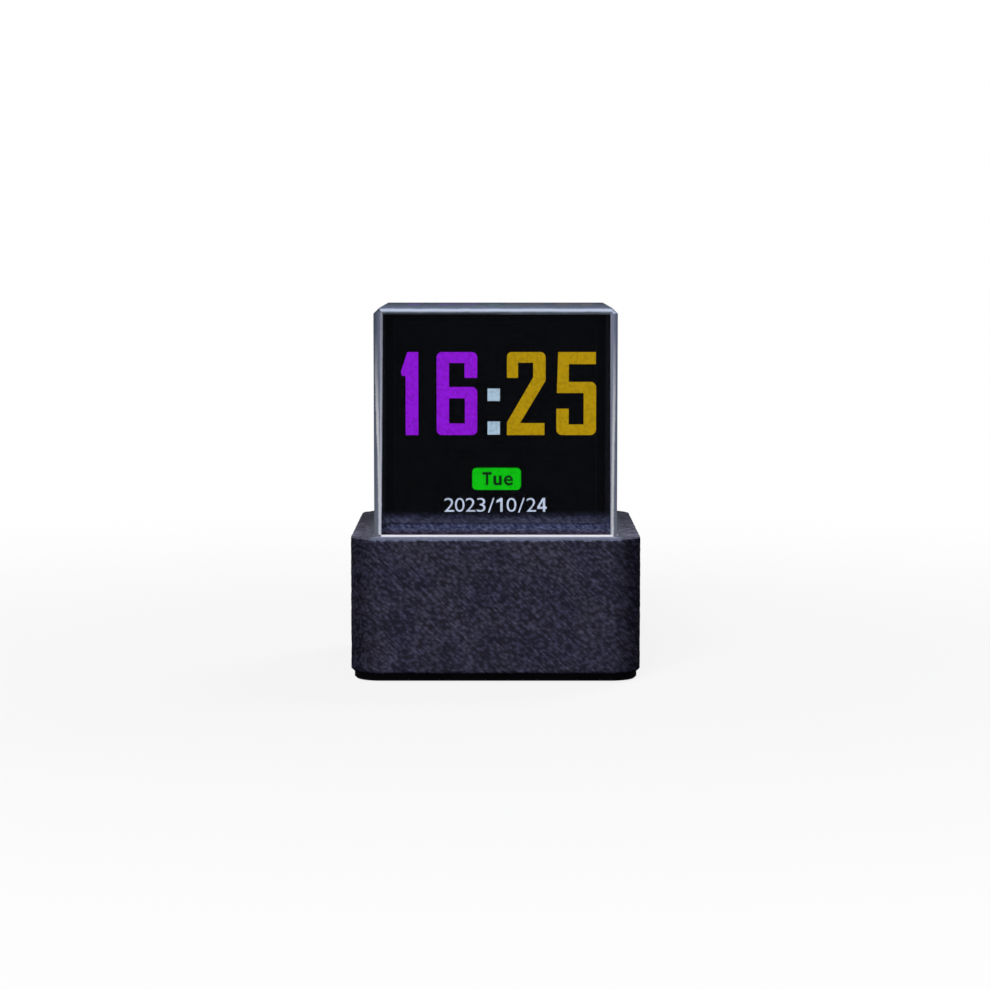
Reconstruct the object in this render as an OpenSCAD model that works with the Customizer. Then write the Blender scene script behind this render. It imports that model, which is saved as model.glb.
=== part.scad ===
// Desktop weather clock: a bevelled glass cube standing on a small square base.
// A flat display in the base shines up into the cube, and a half mirror across the cube's
// diagonal turns the picture upright towards the front.
// Millimetres. The front faces -Y, up is +Z, and the origin is on the table under the middle.

/* [Base shell] */
// Width of the base, left to right
base_w = 38.2; // [34:0.1:60]
// Depth of the base, front to back
base_d = 38.2; // [34:0.1:60]
// Height of the base's top above the table
base_h = 19; // [17:0.1:40]
// Thickness of the side walls
wall = 1.5; // [1.2:0.1:1.6]
// Radius of the upright corners
corner_r = 4; // [1.9:0.1:5]
// Radius of the rounded edge round the top
crown_r = 0.25; // [0.15:0.05:0.95]
// Chamfer on the shell's lower outer edge
hem = 0.3; // [0.1:0.05:0.6]
// Thickness of the ledge between glass and display
ledge_t = 1; // [0.8:0.1:2]
// Diameter of the four screw bosses and of the cover's posts
boss_d = 4; // [3.4:0.1:4.4]
// Distance from the inside of a wall to a boss's axis
boss_inset = 3.2; // [2.8:0.1:3.6]
// Thickness of the ribs that tie a boss to its walls
rib_t = 1.6; // [1:0.1:2.4]
// Distance of the display's locating ribs from the middle, front to back
rib_y = 8; // [4:0.5:11]

/* [Glass cube] */
// Width of the base's top that is left round the cube
shoulder = 3.1; // [2.4:0.1:5]
// Bevel along every edge of the cube
prism_bevel = 0.75; // [0.3:0.05:0.8]
// How deep the cube stands below the base's top
prism_sink = 2; // [1:0.1:3]
// Gap round the cube in its seat
seat_gap = 0.25; // [0.2:0.05:0.4]
// Radius of the seat's inner corners
seat_r = 0.5; // [0.2:0.1:0.9]
// Thickness of the cemented half mirror on the diagonal
splitter_t = 0.1; // [0.05:0.01:0.3]
// Thickness of the black film on the cube's rear face
backing_t = 0.12; // [0.05:0.01:0.18]
// Height of the pale seal that shows round the foot of the cube
bead_h = 0.3; // [0.15:0.05:0.5]
// Depth of the seal in the gap round the cube
bead_depth = 0.5; // [0.3:0.05:0.8]
// Thickness of the adhesive frames under the cube and over the display
tape_t = 0.15; // [0.13:0.01:0.3]

/* [Display] */
// Distance from the cube's faces to the picture's edge, seen from above
picture_inset = 2.15; // [2:0.05:3]
// How far the picture's middle lies behind the cube's middle
picture_y = 0.5; // [0.4:0.05:0.6]
// Margin between the picture and the window in the ledge
window_gap = 0.1; // [0.05:0.05:0.3]
// Margin between the picture and the polariser's edge
polariser_rim = 0.3; // [0.2:0.05:0.4]
// Thickness of the polariser
polariser_t = 0.12; // [0.08:0.01:0.13]
// Thickness of each of the two glass sheets
glass_t = 0.45; // [0.3:0.05:0.7]
// Glass beside the picture, on the left and right
glass_side = 1.6; // [1.4:0.1:1.8]
// Glass behind the picture
glass_rear = 1.9; // [1.6:0.1:2.2]
// Glass in front of the picture
glass_front = 0.85; // [0.8:0.05:0.95]
// Step of the lower glass that carries the driver chip
chip_step = 2; // [1.9:0.1:2.1]
// Length of the driver chip
chip_w = 14; // [8:0.5:18]
// Height of the white frame round the light guide
frame_h = 0.9; // [0.7:0.1:1.4]
// Width of the frame's rim
frame_rim = 1.1; // [0.8:0.1:1.3]
// Overhang of the frame beyond the glass
frame_over = 0.2; // [0.1:0.05:0.3]
// Thickness of the light guide
guide_t = 0.6; // [0.4:0.05:0.7]
// Thickness of the reflector sheet
reflector_t = 0.1; // [0.05:0.01:0.2]
// Length of one backlight lamp
lamp_w = 3; // [2:0.1:4]
// Width of the flexible circuit
flex_w = 12.6; // [8:0.1:16]
// Thickness of the flexible circuit
flex_t = 0.12; // [0.08:0.01:0.14]
// Distance from the front wall to the flexible circuit's last bend
flex_turn = 5.4; // [4.5:0.1:7]

/* [Bottom cover] */
// Height of the cover's rim that shows under the shell
rim_h = 1; // [0.6:0.1:2]
// How far the rim stands in from the shell's sides
rim_inset = 0.45; // [0.2:0.05:0.8]
// Chamfer round the rim's lower edge
rim_chamfer = 0.25; // [0.1:0.05:0.4]
// Thickness of the cover
cover_t = 1.8; // [1.6:0.1:3]
// Gap between the cover's spigot and the walls
spigot_gap = 0.1; // [0.05:0.05:0.3]
// Height of the cover's posts, which clamp the circuit board
post_h = 5; // [4.4:0.1:7]
// How far the foot pad stands out below the cover
pad_proud = 0.2; // [0.1:0.05:0.6]
// Depth of the foot pad's recess
pad_seat = 0.5; // [0.3:0.05:0.7]
// Distance from the rim to the foot pad
pad_margin = 2; // [1.5:0.1:3]
// Gap round the foot pad in its recess
pad_gap = 0.1; // [0.05:0.05:0.2]
// Width of cover left between a screw head and the foot pad
pad_land = 1.2; // [0.8:0.1:1.6]

/* [Screws] */
// Diameter of the screw shanks
screw_d = 1.6; // [1.4:0.1:1.8]
// Length of the screws under the head
screw_l = 10; // [8.5:0.1:11]
// Diameter of the screw heads
head_d = 3; // [2.6:0.1:3.2]
// Height of the screw heads
head_h = 0.9; // [0.6:0.05:1]
// Width of the head's cross slot
cross_w = 0.4; // [0.3:0.05:0.6]
// Clearance of a shank in its boss, on the diameter
thread_gap = 0.1; // [0.05:0.05:0.2]
// Clearance of shank and head in the cover and board, on the diameter
screw_gap = 0.4; // [0.2:0.05:0.6]
// How far a head lies above the cover's lower face
head_sub = 0.2; // [0.1:0.05:0.4]

/* [Circuit board] */
// Thickness of the circuit board
board_t = 1; // [0.8:0.1:1.6]
// Gap between the board and the walls
board_gap = 0.9; // [0.5:0.1:1.2]
// Radius of the board's corners
board_r = 1; // [0.5:0.1:2]
// Length of the radio module
module_w = 24; // [18:0.1:24]
// Width of the radio module
module_d = 16; // [13:0.1:18]
// Thickness of the radio module's board
module_t = 0.8; // [0.6:0.1:1]
// How far the module's middle lies in front of the base's middle
module_y = 2.5; // [0:0.1:3]
// Spacing of the module's edge contacts
contact_pitch = 2; // [1.27:0.01:2.54]
// Contacts along each long edge of the module
contact_count = 8; // [4:1:8]
// Length of the shield can
can_w = 15; // [10:0.1:17]
// Width of the shield can
can_d = 12; // [9:0.1:12.8]
// Height of the shield can
can_h = 2.3; // [1.5:0.1:2.6]
// Length of the regulator's body
regulator_w = 6.5; // [4:0.1:7]
// Depth of the regulator's body
regulator_d = 3.5; // [2:0.1:4]
// Height of the regulator's body
regulator_h = 1.6; // [1:0.1:1.8]
// Length of a capacitor
cap_l = 2; // [1:0.1:3.2]
// Width of a capacitor
cap_w = 1.25; // [0.5:0.05:1.6]
// Height of a capacitor
cap_h = 0.85; // [0.4:0.05:1.6]
// Length of a resistor
res_l = 1.6; // [1:0.1:2]
// Width of a resistor
res_w = 0.8; // [0.5:0.05:1.2]
// Height of a resistor
res_h = 0.45; // [0.3:0.05:0.6]
// Length of the lamp transistor
transistor_w = 2.9; // [2:0.1:3.2]
// Depth of the lamp transistor's body
transistor_d = 1.3; // [1:0.1:1.6]
// Height of the lamp transistor
transistor_h = 1.1; // [0.8:0.05:1.3]

/* [Power inlet] */
// Width of the inlet's shell
usb_w = 8.94; // [8.8:0.02:9.2]
// Height of the inlet's shell
usb_h = 3.2; // [3.1:0.02:3.4]
// Length of the inlet's shell
usb_l = 7.3; // [6.8:0.1:9]
// Corner radius of the inlet's shell
usb_r = 1.5; // [1:0.05:1.55]
// Thickness of the inlet's sheet metal
usb_t = 0.3; // [0.2:0.05:0.35]
// How far the inlet's mouth lies inside the rear face
usb_sub = 0.6; // [0.3:0.05:1]
// Gap round the inlet in the rear wall
usb_gap = 0.22; // [0.15:0.01:0.4]
// Width of the tongue in the inlet
tongue_w = 6.7; // [6:0.1:7]
// Thickness of the tongue in the inlet
tongue_t = 0.7; // [0.6:0.05:0.8]
// How far the tongue's tip lies inside the mouth
tongue_sub = 1; // [0.6:0.05:1.4]
// Contacts on each side of the tongue
pin_count = 8; // [6:1:12]
// Width of one contact
pin_w = 0.32; // [0.2:0.02:0.36]

/* [Mode button] */
// Diameter of the button
button_d = 3.6; // [2.5:0.1:4]
// Gap between the button and its hole, all round
button_gap = 0.25; // [0.2:0.05:0.4]
// Diameter of the flange that keeps the button in
flange_d = 5.2; // [4.8:0.1:5.6]
// Thickness of the flange
flange_t = 0.75; // [0.5:0.05:1]
// How far the button's face lies inside the rear face
button_sub = 0.1; // [0:0.05:0.3]
// Chamfer round the button's face
button_chamfer = 0.2; // [0.1:0.05:0.4]
// Travel of the button
travel = 0.4; // [0.2:0.05:0.5]
// Width of the switch
switch_w = 4.8; // [4.4:0.1:5.4]
// Depth of the switch
switch_d = 3.6; // [3.2:0.1:4.4]
// Height of the switch
switch_h = 3.2; // [3:0.1:3.6]
// Space between the inlet and the switch
switch_gap = 0.7; // [0.5:0.1:1.2]
// Width of the switch's plunger
plunger_w = 3; // [2:0.1:3.4]
// Height of the switch's plunger
plunger_h = 1.6; // [1.2:0.1:1.8]
// How far the plunger stands out of the switch at rest
plunger_out = 0.9; // [0.7:0.05:1.2]
// Length of the plunger inside the switch
plunger_in = 1.4; // [1:0.1:1.6]
// Gap round the plunger in the switch
plunger_gap = 0.15; // [0.1:0.05:0.25]

/* [Hidden] */
$fn = 64;
// Overlap of cutters past the faces that they cut
over = 1;
// Overlap of joined pieces inside one moulding
fuse = 0.3;

// The cube is as high as it is deep, because its half mirror stands at 45 degrees
prism_w = base_w - 2 * shoulder;
prism_d = base_d - 2 * shoulder;
prism_h = prism_d;

// Levels of the base, from the table up
cover_z = pad_proud;
shell_z = cover_z + rim_h;
cover_top = cover_z + cover_t;
board_z = cover_top + post_h;
board_top = board_z + board_t;
// Levels of the base, from its top down
prism_z = base_h - prism_sink;
seat_z = prism_z - tape_t;
ledge_z = seat_z - ledge_t;
prism_mid = prism_z + prism_h / 2;
filter_top = ledge_z - tape_t;
array_top = filter_top - glass_t;
frame_top = array_top - glass_t;
frame_z = frame_top - frame_h;
reflector_z = frame_z - reflector_t;
// Space between the bosses and the display
boss_drop = 0.6;
boss_top = reflector_z - boss_drop;

// Inside of the shell
inner_w = base_w - 2 * wall;
inner_d = base_d - 2 * wall;
inner_r = corner_r - wall;
rear_y = base_d / 2;
rear_in = inner_d / 2;
boss_x = inner_w / 2 - boss_inset;
boss_y = inner_d / 2 - boss_inset;

// Display outline, left to right and front to back
picture_w = prism_w - 2 * picture_inset;
picture_d = prism_d - 2 * picture_inset;
window_w = picture_w + 2 * window_gap;
window_d = picture_d + 2 * window_gap;
glass_w = picture_w + 2 * glass_side;
filter_front = picture_y - picture_d / 2 - glass_front;
glass_back = picture_y + picture_d / 2 + glass_rear;
array_front = filter_front - chip_step;
frame_w = glass_w + 2 * frame_over;
frame_front = array_front - frame_over;
frame_back = glass_back + frame_over;
// Gap between loose pieces of the display
display_gap = 0.1;
guide_w = frame_w - 2 * frame_rim - 2 * display_gap;
guide_back = frame_back - frame_rim - display_gap;
// Room in front of the light guide for the lamps
lamp_d = 0.6;
lamp_front = frame_front + frame_rim + display_gap;
guide_front = lamp_front + lamp_d + display_gap;
lamp_count = 3;
lamp_pitch = guide_w / lamp_count;

// Circuit board and what stands on it
board_w = inner_w - 2 * board_gap;
board_d = inner_d - 2 * board_gap;
usb_mouth = rear_y - usb_sub;
usb_back = usb_mouth - usb_l;
usb_z = board_top + usb_h / 2;
// Legs that hold the inlet to the board
leg_l = usb_l / 7;
leg_y = [usb_back + 0.2 * usb_l, usb_back + 0.6 * usb_l];
leg_gap = 0.2;
// The flexible circuit's loop above the board
loop_r = (reflector_z - board_top) / 2;
loop_y = flex_turn - rear_in;
// Space between the parts on the board
parts_gap = 1.2;

// Mode button and its switch, from the rear face inwards
button_slack = 0.15;
flange_y = rear_in - button_slack;
tip_y = flange_y - flange_t;
switch_back = tip_y - plunger_out;
switch_x = usb_w / 2 + switch_gap + switch_w / 2;
switch_z = board_top + switch_h / 2;
// Free depth behind the pressed plunger
plunger_rest = 0.6;
// Space round the flange in the board's notch
notch_gap = 0.3;

// Flat rounded rectangle about the origin
module rounded_rect(w, d, r) {
    square([w - 2 * r, d], center = true);
    square([w, d - 2 * r], center = true);
    for (sx = [-1, 1], sy = [-1, 1])
        translate([sx * (w / 2 - r), sy * (d / 2 - r)])
            circle(r = r);
}

// Half of a block's upright section: its outer face at x = reach, chamfered below, rounded above
module rim_section(reach, z0, z1, chamfer, round_r) {
    crown = round_r > 0
        ? [[reach, z1 - round_r], [reach - round_r, z1]]
        : [[reach, z1]];
    polygon(concat(
        [[0, z0], [reach - chamfer, z0], [reach, z0 + chamfer]],
        crown,
        [[0, z1]]
    ));
    if (round_r > 0)
        translate([reach - round_r, z1 - round_r])
            circle(r = round_r);
}

// Square-cornered pieces and four quarter turns that together make one soft-edged block
module rim_block(w, d, r, z0, z1, chamfer, round_r) {
    for (turn = [0, 180]) {
        rotate([0, 0, turn])
            rotate([90, 0, 0])
                linear_extrude(height = d - 2 * r, center = true)
                    rim_section(w / 2, z0, z1, chamfer, round_r);
        rotate([0, 0, turn])
            rotate([90, 0, 90])
                linear_extrude(height = w - 2 * r, center = true)
                    rim_section(d / 2, z0, z1, chamfer, round_r);
    }
    for (sx = [0, 1], sy = [0, 1])
        mirror([sx, 0, 0])
            mirror([0, sy, 0])
                translate([w / 2 - r, d / 2 - r, 0])
                    rotate_extrude(angle = 90)
                        rim_section(r, z0, z1, chamfer, round_r);
}

// A copy at each of the four screw axes
module at_screws() {
    for (sx = [-1, 1], sy = [-1, 1])
        translate([sx * boss_x, sy * boss_y, 0])
            children();
}

// Box given by its lower and upper corners
module span(low, high) {
    translate(low)
        cube(high - low);
}

// Bar along Y, from y0 back to y1, whose section is drawn in X and Z about the axis
module bar_y(x, z, y0, y1) {
    translate([x, y1, z])
        rotate([90, 0, 0])
            linear_extrude(height = y1 - y0)
                children();
}

// Outline of the cube's seat in the base's top
module seat_outline() {
    rounded_rect(prism_w + 2 * seat_gap, prism_d + 2 * seat_gap, seat_r);
}

module screw_boss(sx, sy) {
    boss_h = boss_top - board_top;
    translate([sx * boss_x, sy * boss_y, board_top])
        cylinder(d = boss_d, h = boss_h);
    translate([sx * (inner_w / 2 + fuse + boss_x) / 2, sy * boss_y, board_top + boss_h / 2])
        cube([boss_inset + fuse, rib_t, boss_h], center = true);
    translate([sx * boss_x, sy * (inner_d / 2 + fuse + boss_y) / 2, board_top + boss_h / 2])
        cube([rib_t, boss_inset + fuse, boss_h], center = true);
}

module display_rib(sx, sy) {
    inner_x = frame_w / 2 + display_gap;
    outer_x = inner_w / 2 + fuse;
    translate([sx * (inner_x + outer_x) / 2, sy * rib_y, (frame_z + ledge_z + fuse) / 2])
        cube([outer_x - inner_x, rib_t, ledge_z + fuse - frame_z], center = true);
}

module base_shell() {
    color([0.17, 0.165, 0.22])
    difference() {
        union() {
            difference() {
                rim_block(base_w, base_d, corner_r, shell_z, base_h, hem, crown_r);
                translate([0, 0, shell_z - over])
                    linear_extrude(height = ledge_z - shell_z + over)
                        rounded_rect(inner_w, inner_d, inner_r);
            }
            for (sx = [-1, 1], sy = [-1, 1]) {
                screw_boss(sx, sy);
                display_rib(sx, sy);
            }
        }
        // Seat of the glass cube and the window under it
        translate([0, 0, seat_z])
            linear_extrude(height = prism_sink + tape_t + over)
                seat_outline();
        translate([0, picture_y, ledge_z - over])
            linear_extrude(height = ledge_t + 2 * over)
                square([window_w, window_d], center = true);
        // Pilot holes
        at_screws()
            translate([0, 0, board_top - over])
                cylinder(d = screw_d + thread_gap, h = boss_top - board_top + 2 * over);
        // Openings in the rear wall
        bar_y(0, usb_z, rear_in - over, rear_y + over)
            rounded_rect(usb_w + 2 * usb_gap, usb_h + 2 * usb_gap, usb_r + usb_gap);
        bar_y(switch_x, switch_z, rear_in - over, rear_y + over)
            circle(d = button_d + 2 * button_gap);
    }
}

module pad_outline(grow) {
    pad_w = base_w - 2 * rim_inset - 2 * pad_margin + 2 * grow;
    pad_d = base_d - 2 * rim_inset - 2 * pad_margin + 2 * grow;
    notch_r = (head_d + screw_gap) / 2 + pad_land - grow;
    difference() {
        rounded_rect(pad_w, pad_d, corner_r - rim_inset + grow);
        for (sx = [-1, 1], sy = [-1, 1])
            translate([sx * boss_x, sy * boss_y])
                circle(r = notch_r);
    }
}

module bottom_cover() {
    color([0.03, 0.03, 0.035])
    difference() {
        union() {
            rim_block(
                base_w - 2 * rim_inset, base_d - 2 * rim_inset, corner_r - rim_inset,
                cover_z, shell_z, rim_chamfer, 0
            );
            translate([0, 0, shell_z - fuse])
                linear_extrude(height = cover_top - shell_z + fuse)
                    rounded_rect(inner_w - 2 * spigot_gap, inner_d - 2 * spigot_gap, inner_r);
            at_screws()
                translate([0, 0, cover_top - fuse])
                    cylinder(d = boss_d, h = post_h + fuse);
        }
        translate([0, 0, cover_z - over])
            linear_extrude(height = pad_seat + over)
                pad_outline(pad_gap);
        at_screws() {
            translate([0, 0, cover_z - over])
                cylinder(d = head_d + screw_gap, h = head_sub + head_h + over);
            translate([0, 0, cover_z])
                cylinder(d = screw_d + screw_gap, h = board_z - cover_z + over);
        }
    }
}

module foot_pad() {
    color([0.06, 0.06, 0.065])
    linear_extrude(height = pad_proud + pad_seat)
        pad_outline(0);
}

module cover_screws() {
    head_z = cover_z + head_sub;
    cross_l = 0.6 * head_d;
    color([0.62, 0.63, 0.65])
    at_screws()
        difference() {
            union() {
                translate([0, 0, head_z])
                    cylinder(d = head_d, h = head_h);
                translate([0, 0, head_z + head_h - fuse])
                    cylinder(d = screw_d, h = screw_l + fuse);
            }
            for (turn = [0, 90])
                translate([0, 0, head_z])
                    rotate([0, 0, turn])
                        cube([cross_l, cross_w, head_h], center = true);
        }
}

// Section of the glass cube: a rectangle with its corners bevelled
module bevelled_rect(w, h) {
    x = w / 2;
    y = h / 2;
    polygon([
        [x - prism_bevel, y], [prism_bevel - x, y], [-x, y - prism_bevel], [-x, prism_bevel - y],
        [prism_bevel - x, -y], [x - prism_bevel, -y], [x, prism_bevel - y], [x, y - prism_bevel]
    ]);
}

// The whole glass cube, about its own middle
module bevelled_cube() {
    intersection() {
        linear_extrude(height = prism_h, center = true)
            bevelled_rect(prism_w, prism_d);
        rotate([90, 0, 0])
            linear_extrude(height = prism_d, center = true)
                bevelled_rect(prism_w, prism_h);
        rotate([90, 0, 90])
            linear_extrude(height = prism_w, center = true)
                bevelled_rect(prism_d, prism_h);
    }
}

// The slice of the cube between two distances from its diagonal plane,
// which runs from the top front edge to the bottom rear edge
module cube_slice(from, to) {
    long = prism_w + 2 * prism_d;
    translate([0, 0, prism_mid])
        intersection() {
            bevelled_cube();
            rotate([45, 0, 0])
                translate([-long / 2, from, -long / 2])
                    cube([long, to - from, long]);
        }
}

module front_prism() {
    color([0.8, 0.86, 0.9, 0.35])
    cube_slice(-prism_d, -splitter_t / 2);
}

module rear_prism() {
    color([0.8, 0.86, 0.9, 0.35])
    cube_slice(splitter_t / 2, prism_d);
}

module splitter_film() {
    color([0.7, 0.75, 0.8, 0.5])
    cube_slice(-splitter_t / 2, splitter_t / 2);
}

// The film covers what shows of the rear face above the seal
module backing_film() {
    side_x = prism_w / 2 - prism_bevel;
    low_z = base_h + bead_h + display_gap;
    color([0.02, 0.02, 0.025])
    span(
        [-side_x, prism_d / 2, low_z],
        [side_x, prism_d / 2 + backing_t, prism_z + prism_h - prism_bevel]
    );
}

module seal_bead() {
    color([0.85, 0.87, 0.9])
    translate([0, 0, base_h - bead_depth])
        linear_extrude(height = bead_depth + bead_h)
            difference() {
                seat_outline();
                bevelled_rect(prism_w, prism_d);
            }
}

module prism_tape() {
    outer_w = prism_w - 2 * prism_bevel - 2 * display_gap;
    outer_d = prism_d - 2 * prism_bevel - 2 * display_gap;
    color([0.05, 0.05, 0.05])
    translate([0, 0, seat_z])
        linear_extrude(height = tape_t)
            difference() {
                square([outer_w, outer_d], center = true);
                translate([0, picture_y])
                    square([window_w + 2 * display_gap, window_d + 2 * display_gap], center = true);
            }
}

module display_tape() {
    hole_w = picture_w + 2 * polariser_rim + 2 * display_gap;
    hole_d = picture_d + 2 * polariser_rim + 2 * display_gap;
    outer_x = glass_w / 2 - display_gap;
    color([0.05, 0.05, 0.05])
    difference() {
        span(
            [-outer_x, filter_front + display_gap, filter_top],
            [outer_x, glass_back - display_gap, ledge_z]
        );
        translate([0, picture_y, filter_top])
            cube([hole_w, hole_d, 2 * over], center = true);
    }
}

module polariser() {
    color([0.08, 0.08, 0.1])
    translate([0, picture_y, filter_top + polariser_t / 2])
        cube(
            [picture_w + 2 * polariser_rim, picture_d + 2 * polariser_rim, polariser_t],
            center = true
        );
}

module filter_glass() {
    color([0.55, 0.6, 0.65, 0.8])
    span([-glass_w / 2, filter_front, array_top], [glass_w / 2, glass_back, filter_top]);
}

module array_glass() {
    color([0.5, 0.58, 0.62, 0.8])
    span([-glass_w / 2, array_front, frame_top], [glass_w / 2, glass_back, array_top]);
}

module driver_chip() {
    chip_d = chip_step * 0.35;
    chip_h = 0.3;
    chip_back = filter_front - display_gap;
    color([0.12, 0.12, 0.13])
    span([-chip_w / 2, chip_back - chip_d, array_top], [chip_w / 2, chip_back, array_top + chip_h]);
}

module backlight_frame() {
    color([0.9, 0.9, 0.88])
    difference() {
        span([-frame_w / 2, frame_front, frame_z], [frame_w / 2, frame_back, frame_top]);
        span(
            [frame_rim - frame_w / 2, frame_front + frame_rim, frame_z - over],
            [frame_w / 2 - frame_rim, frame_back - frame_rim, frame_top + over]
        );
    }
}

module light_guide() {
    color([0.85, 0.9, 0.92, 0.6])
    span([-guide_w / 2, guide_front, frame_z], [guide_w / 2, guide_back, frame_z + guide_t]);
}

module diffuser_sheet() {
    color([0.95, 0.95, 0.95])
    span([-guide_w / 2, guide_front, frame_z + guide_t], [guide_w / 2, guide_back, frame_top]);
}

module backlight_lamps() {
    color([0.95, 0.9, 0.6])
    for (i = [0 : lamp_count - 1])
        translate([(i - (lamp_count - 1) / 2) * lamp_pitch - lamp_w / 2, lamp_front, frame_z])
            cube([lamp_w, lamp_d, guide_t]);
}

module reflector_sheet() {
    color([0.85, 0.86, 0.88])
    span([-frame_w / 2, frame_front, reflector_z], [frame_w / 2, frame_back, frame_z]);
}

// Half of a ring, on the side of x that side gives
module half_ring(r, t, side) {
    intersection() {
        difference() {
            circle(r = r);
            circle(r = r - t);
        }
        translate([side * r, 0])
            square(2 * r, center = true);
    }
}

// The flexible circuit's run: off the glass step, round the display's front edge,
// back below the display, and in one loop down to the board
module flex_section() {
    flex_bond = frame_over + 0.5 * chip_step;
    edge_r = (array_top + flex_t - reflector_z + flex_t) / 2;
    pad_l = 0.6 * flex_turn;
    translate([frame_front, array_top])
        square([flex_bond, flex_t]);
    translate([frame_front, reflector_z - flex_t + edge_r])
        half_ring(edge_r, flex_t, -1);
    translate([frame_front, reflector_z - flex_t])
        square([loop_y - frame_front, flex_t]);
    translate([loop_y, board_top + loop_r])
        half_ring(loop_r, flex_t, 1);
    translate([loop_y - pad_l, board_top])
        square([pad_l, flex_t]);
}

module display_flex() {
    color([0.72, 0.42, 0.1])
    rotate([90, 0, 90])
        linear_extrude(height = flex_w, center = true)
            flex_section();
}

module main_board() {
    color([0.04, 0.16, 0.1])
    difference() {
        translate([0, 0, board_z])
            linear_extrude(height = board_t)
                rounded_rect(board_w, board_d, board_r);
        at_screws()
            translate([0, 0, board_z - over])
                cylinder(d = screw_d + screw_gap, h = board_t + 2 * over);
        for (sx = [-1, 1], y = leg_y)
            translate([sx * (usb_w - usb_t) / 2, y, board_z])
                cube([usb_t + 2 * leg_gap, leg_l + 2 * leg_gap, 4 * board_t], center = true);
        // Notch that lets the button's flange move in
        span(
            [switch_x - flange_d / 2 - notch_gap, tip_y - travel - notch_gap, board_z - over],
            [switch_x + flange_d / 2 + notch_gap, rear_in, board_top + over]
        );
    }
}

// The radio module hangs below the main board, its aerial end to the left
module radio_board() {
    contact_d = 0.8;
    first = module_w / 2 - 2;
    color([0.05, 0.09, 0.2])
    difference() {
        translate([0, -module_y, board_z - module_t / 2])
            cube([module_w, module_d, module_t], center = true);
        for (i = [0 : contact_count - 1], sy = [-1, 1])
            translate([first - i * contact_pitch, sy * module_d / 2 - module_y, board_z - module_t - over])
                cylinder(d = contact_d, h = module_t + 2 * over, $fn = 24);
    }
}

module shield_can() {
    can_t = 0.25;
    can_x = (module_w - can_w) / 2 - 1;
    can_top = board_z - module_t;
    color([0.7, 0.71, 0.73])
    translate([can_x, -module_y, can_top - can_h])
        difference() {
            linear_extrude(height = can_h)
                rounded_rect(can_w, can_d, 0.6);
            translate([0, 0, can_t])
                linear_extrude(height = can_h)
                    rounded_rect(can_w - 2 * can_t, can_d - 2 * can_t, 0.6 - can_t);
        }
}

module regulator() {
    lead_w = 0.11 * regulator_w;
    lead_l = 0.45 * regulator_d;
    lead_t = 0.2 * regulator_h;
    lead_pitch = 0.35 * regulator_w;
    tab_w = 0.46 * regulator_w;
    color([0.1, 0.1, 0.11])
    translate([-0.6 * boss_x, 0.35 * boss_y, board_top]) {
        translate([-regulator_w / 2, -regulator_d / 2, 0])
            cube([regulator_w, regulator_d, regulator_h]);
        for (i = [-1, 0, 1])
            translate([i * lead_pitch - lead_w / 2, -regulator_d / 2 - lead_l, 0])
                cube([lead_w, lead_l + fuse, lead_t]);
        translate([-tab_w / 2, regulator_d / 2 - fuse, 0])
            cube([tab_w, lead_l + fuse, lead_t]);
    }
}

// A row of equal chips across the board, with its middle at y
module chip_row(count, pitch, y, size) {
    for (i = [0 : count - 1])
        translate([(i - (count - 1) / 2) * pitch, y, board_top + size.z / 2])
            cube(size, center = true);
}

module chip_capacitors() {
    color([0.72, 0.6, 0.44])
    chip_row(4, 2 * cap_w, usb_back - parts_gap - cap_l / 2, [cap_w, cap_l, cap_h]);
}

module chip_resistors() {
    color([0.1, 0.1, 0.12])
    chip_row(6, 2.2 * res_w, loop_y + loop_r + parts_gap + res_l / 2, [res_w, res_l, res_h]);
}

module lamp_transistor() {
    lead_t = 0.3 * transistor_h;
    lead_w = 0.15 * transistor_w;
    lead_x = 0.33 * transistor_w;
    lead_y = 1.85 * transistor_d;
    color([0.1, 0.1, 0.11])
    translate([0.6 * boss_x, -0.14 * boss_y, board_top]) {
        translate([-transistor_w / 2, -transistor_d / 2, 0])
            cube([transistor_w, transistor_d, transistor_h]);
        for (lead = [[-lead_x, -1], [lead_x, -1], [0, 1]])
            translate([lead.x, lead.y * lead_y / 4, lead_t / 2])
                cube([lead_w, lead_y / 2, lead_t], center = true);
    }
}

module usb_section(grow) {
    rounded_rect(usb_w + 2 * grow, usb_h + 2 * grow, usb_r + grow);
}

module usb_shell() {
    leg_drop = board_t + 0.3;
    color([0.75, 0.76, 0.78])
    difference() {
        union() {
            bar_y(0, usb_z, usb_back, usb_mouth)
                usb_section(0);
            for (sx = [-1, 1], y = leg_y)
                translate([sx * (usb_w - usb_t) / 2, y, (usb_z + board_top - leg_drop) / 2])
                    cube([usb_t, leg_l, usb_z - board_top + leg_drop], center = true);
        }
        bar_y(0, usb_z, usb_back - over, usb_mouth + over)
            usb_section(-usb_t);
    }
}

module usb_tongue() {
    block_l = 1.1;
    block_gap = 0.02;
    color([0.05, 0.05, 0.055]) {
        bar_y(0, usb_z, usb_back, usb_back + block_l)
            usb_section(-usb_t - block_gap);
        bar_y(0, usb_z, usb_back + block_l - fuse, usb_mouth - tongue_sub)
            square([tongue_w, tongue_t], center = true);
    }
}

module usb_contacts() {
    pin_l = 3.4;
    pin_t = 0.05;
    pin_pitch = (tongue_w - 0.7) / (pin_count - 1);
    pin_front = usb_mouth - tongue_sub - 0.5;
    color([0.85, 0.66, 0.3])
    for (i = [0 : pin_count - 1], side = [-1, 1])
        translate([
            (i - (pin_count - 1) / 2) * pin_pitch,
            pin_front - pin_l / 2,
            usb_z + side * (tongue_t + pin_t) / 2
        ])
            cube([pin_w, pin_l, pin_t], center = true);
}

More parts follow.
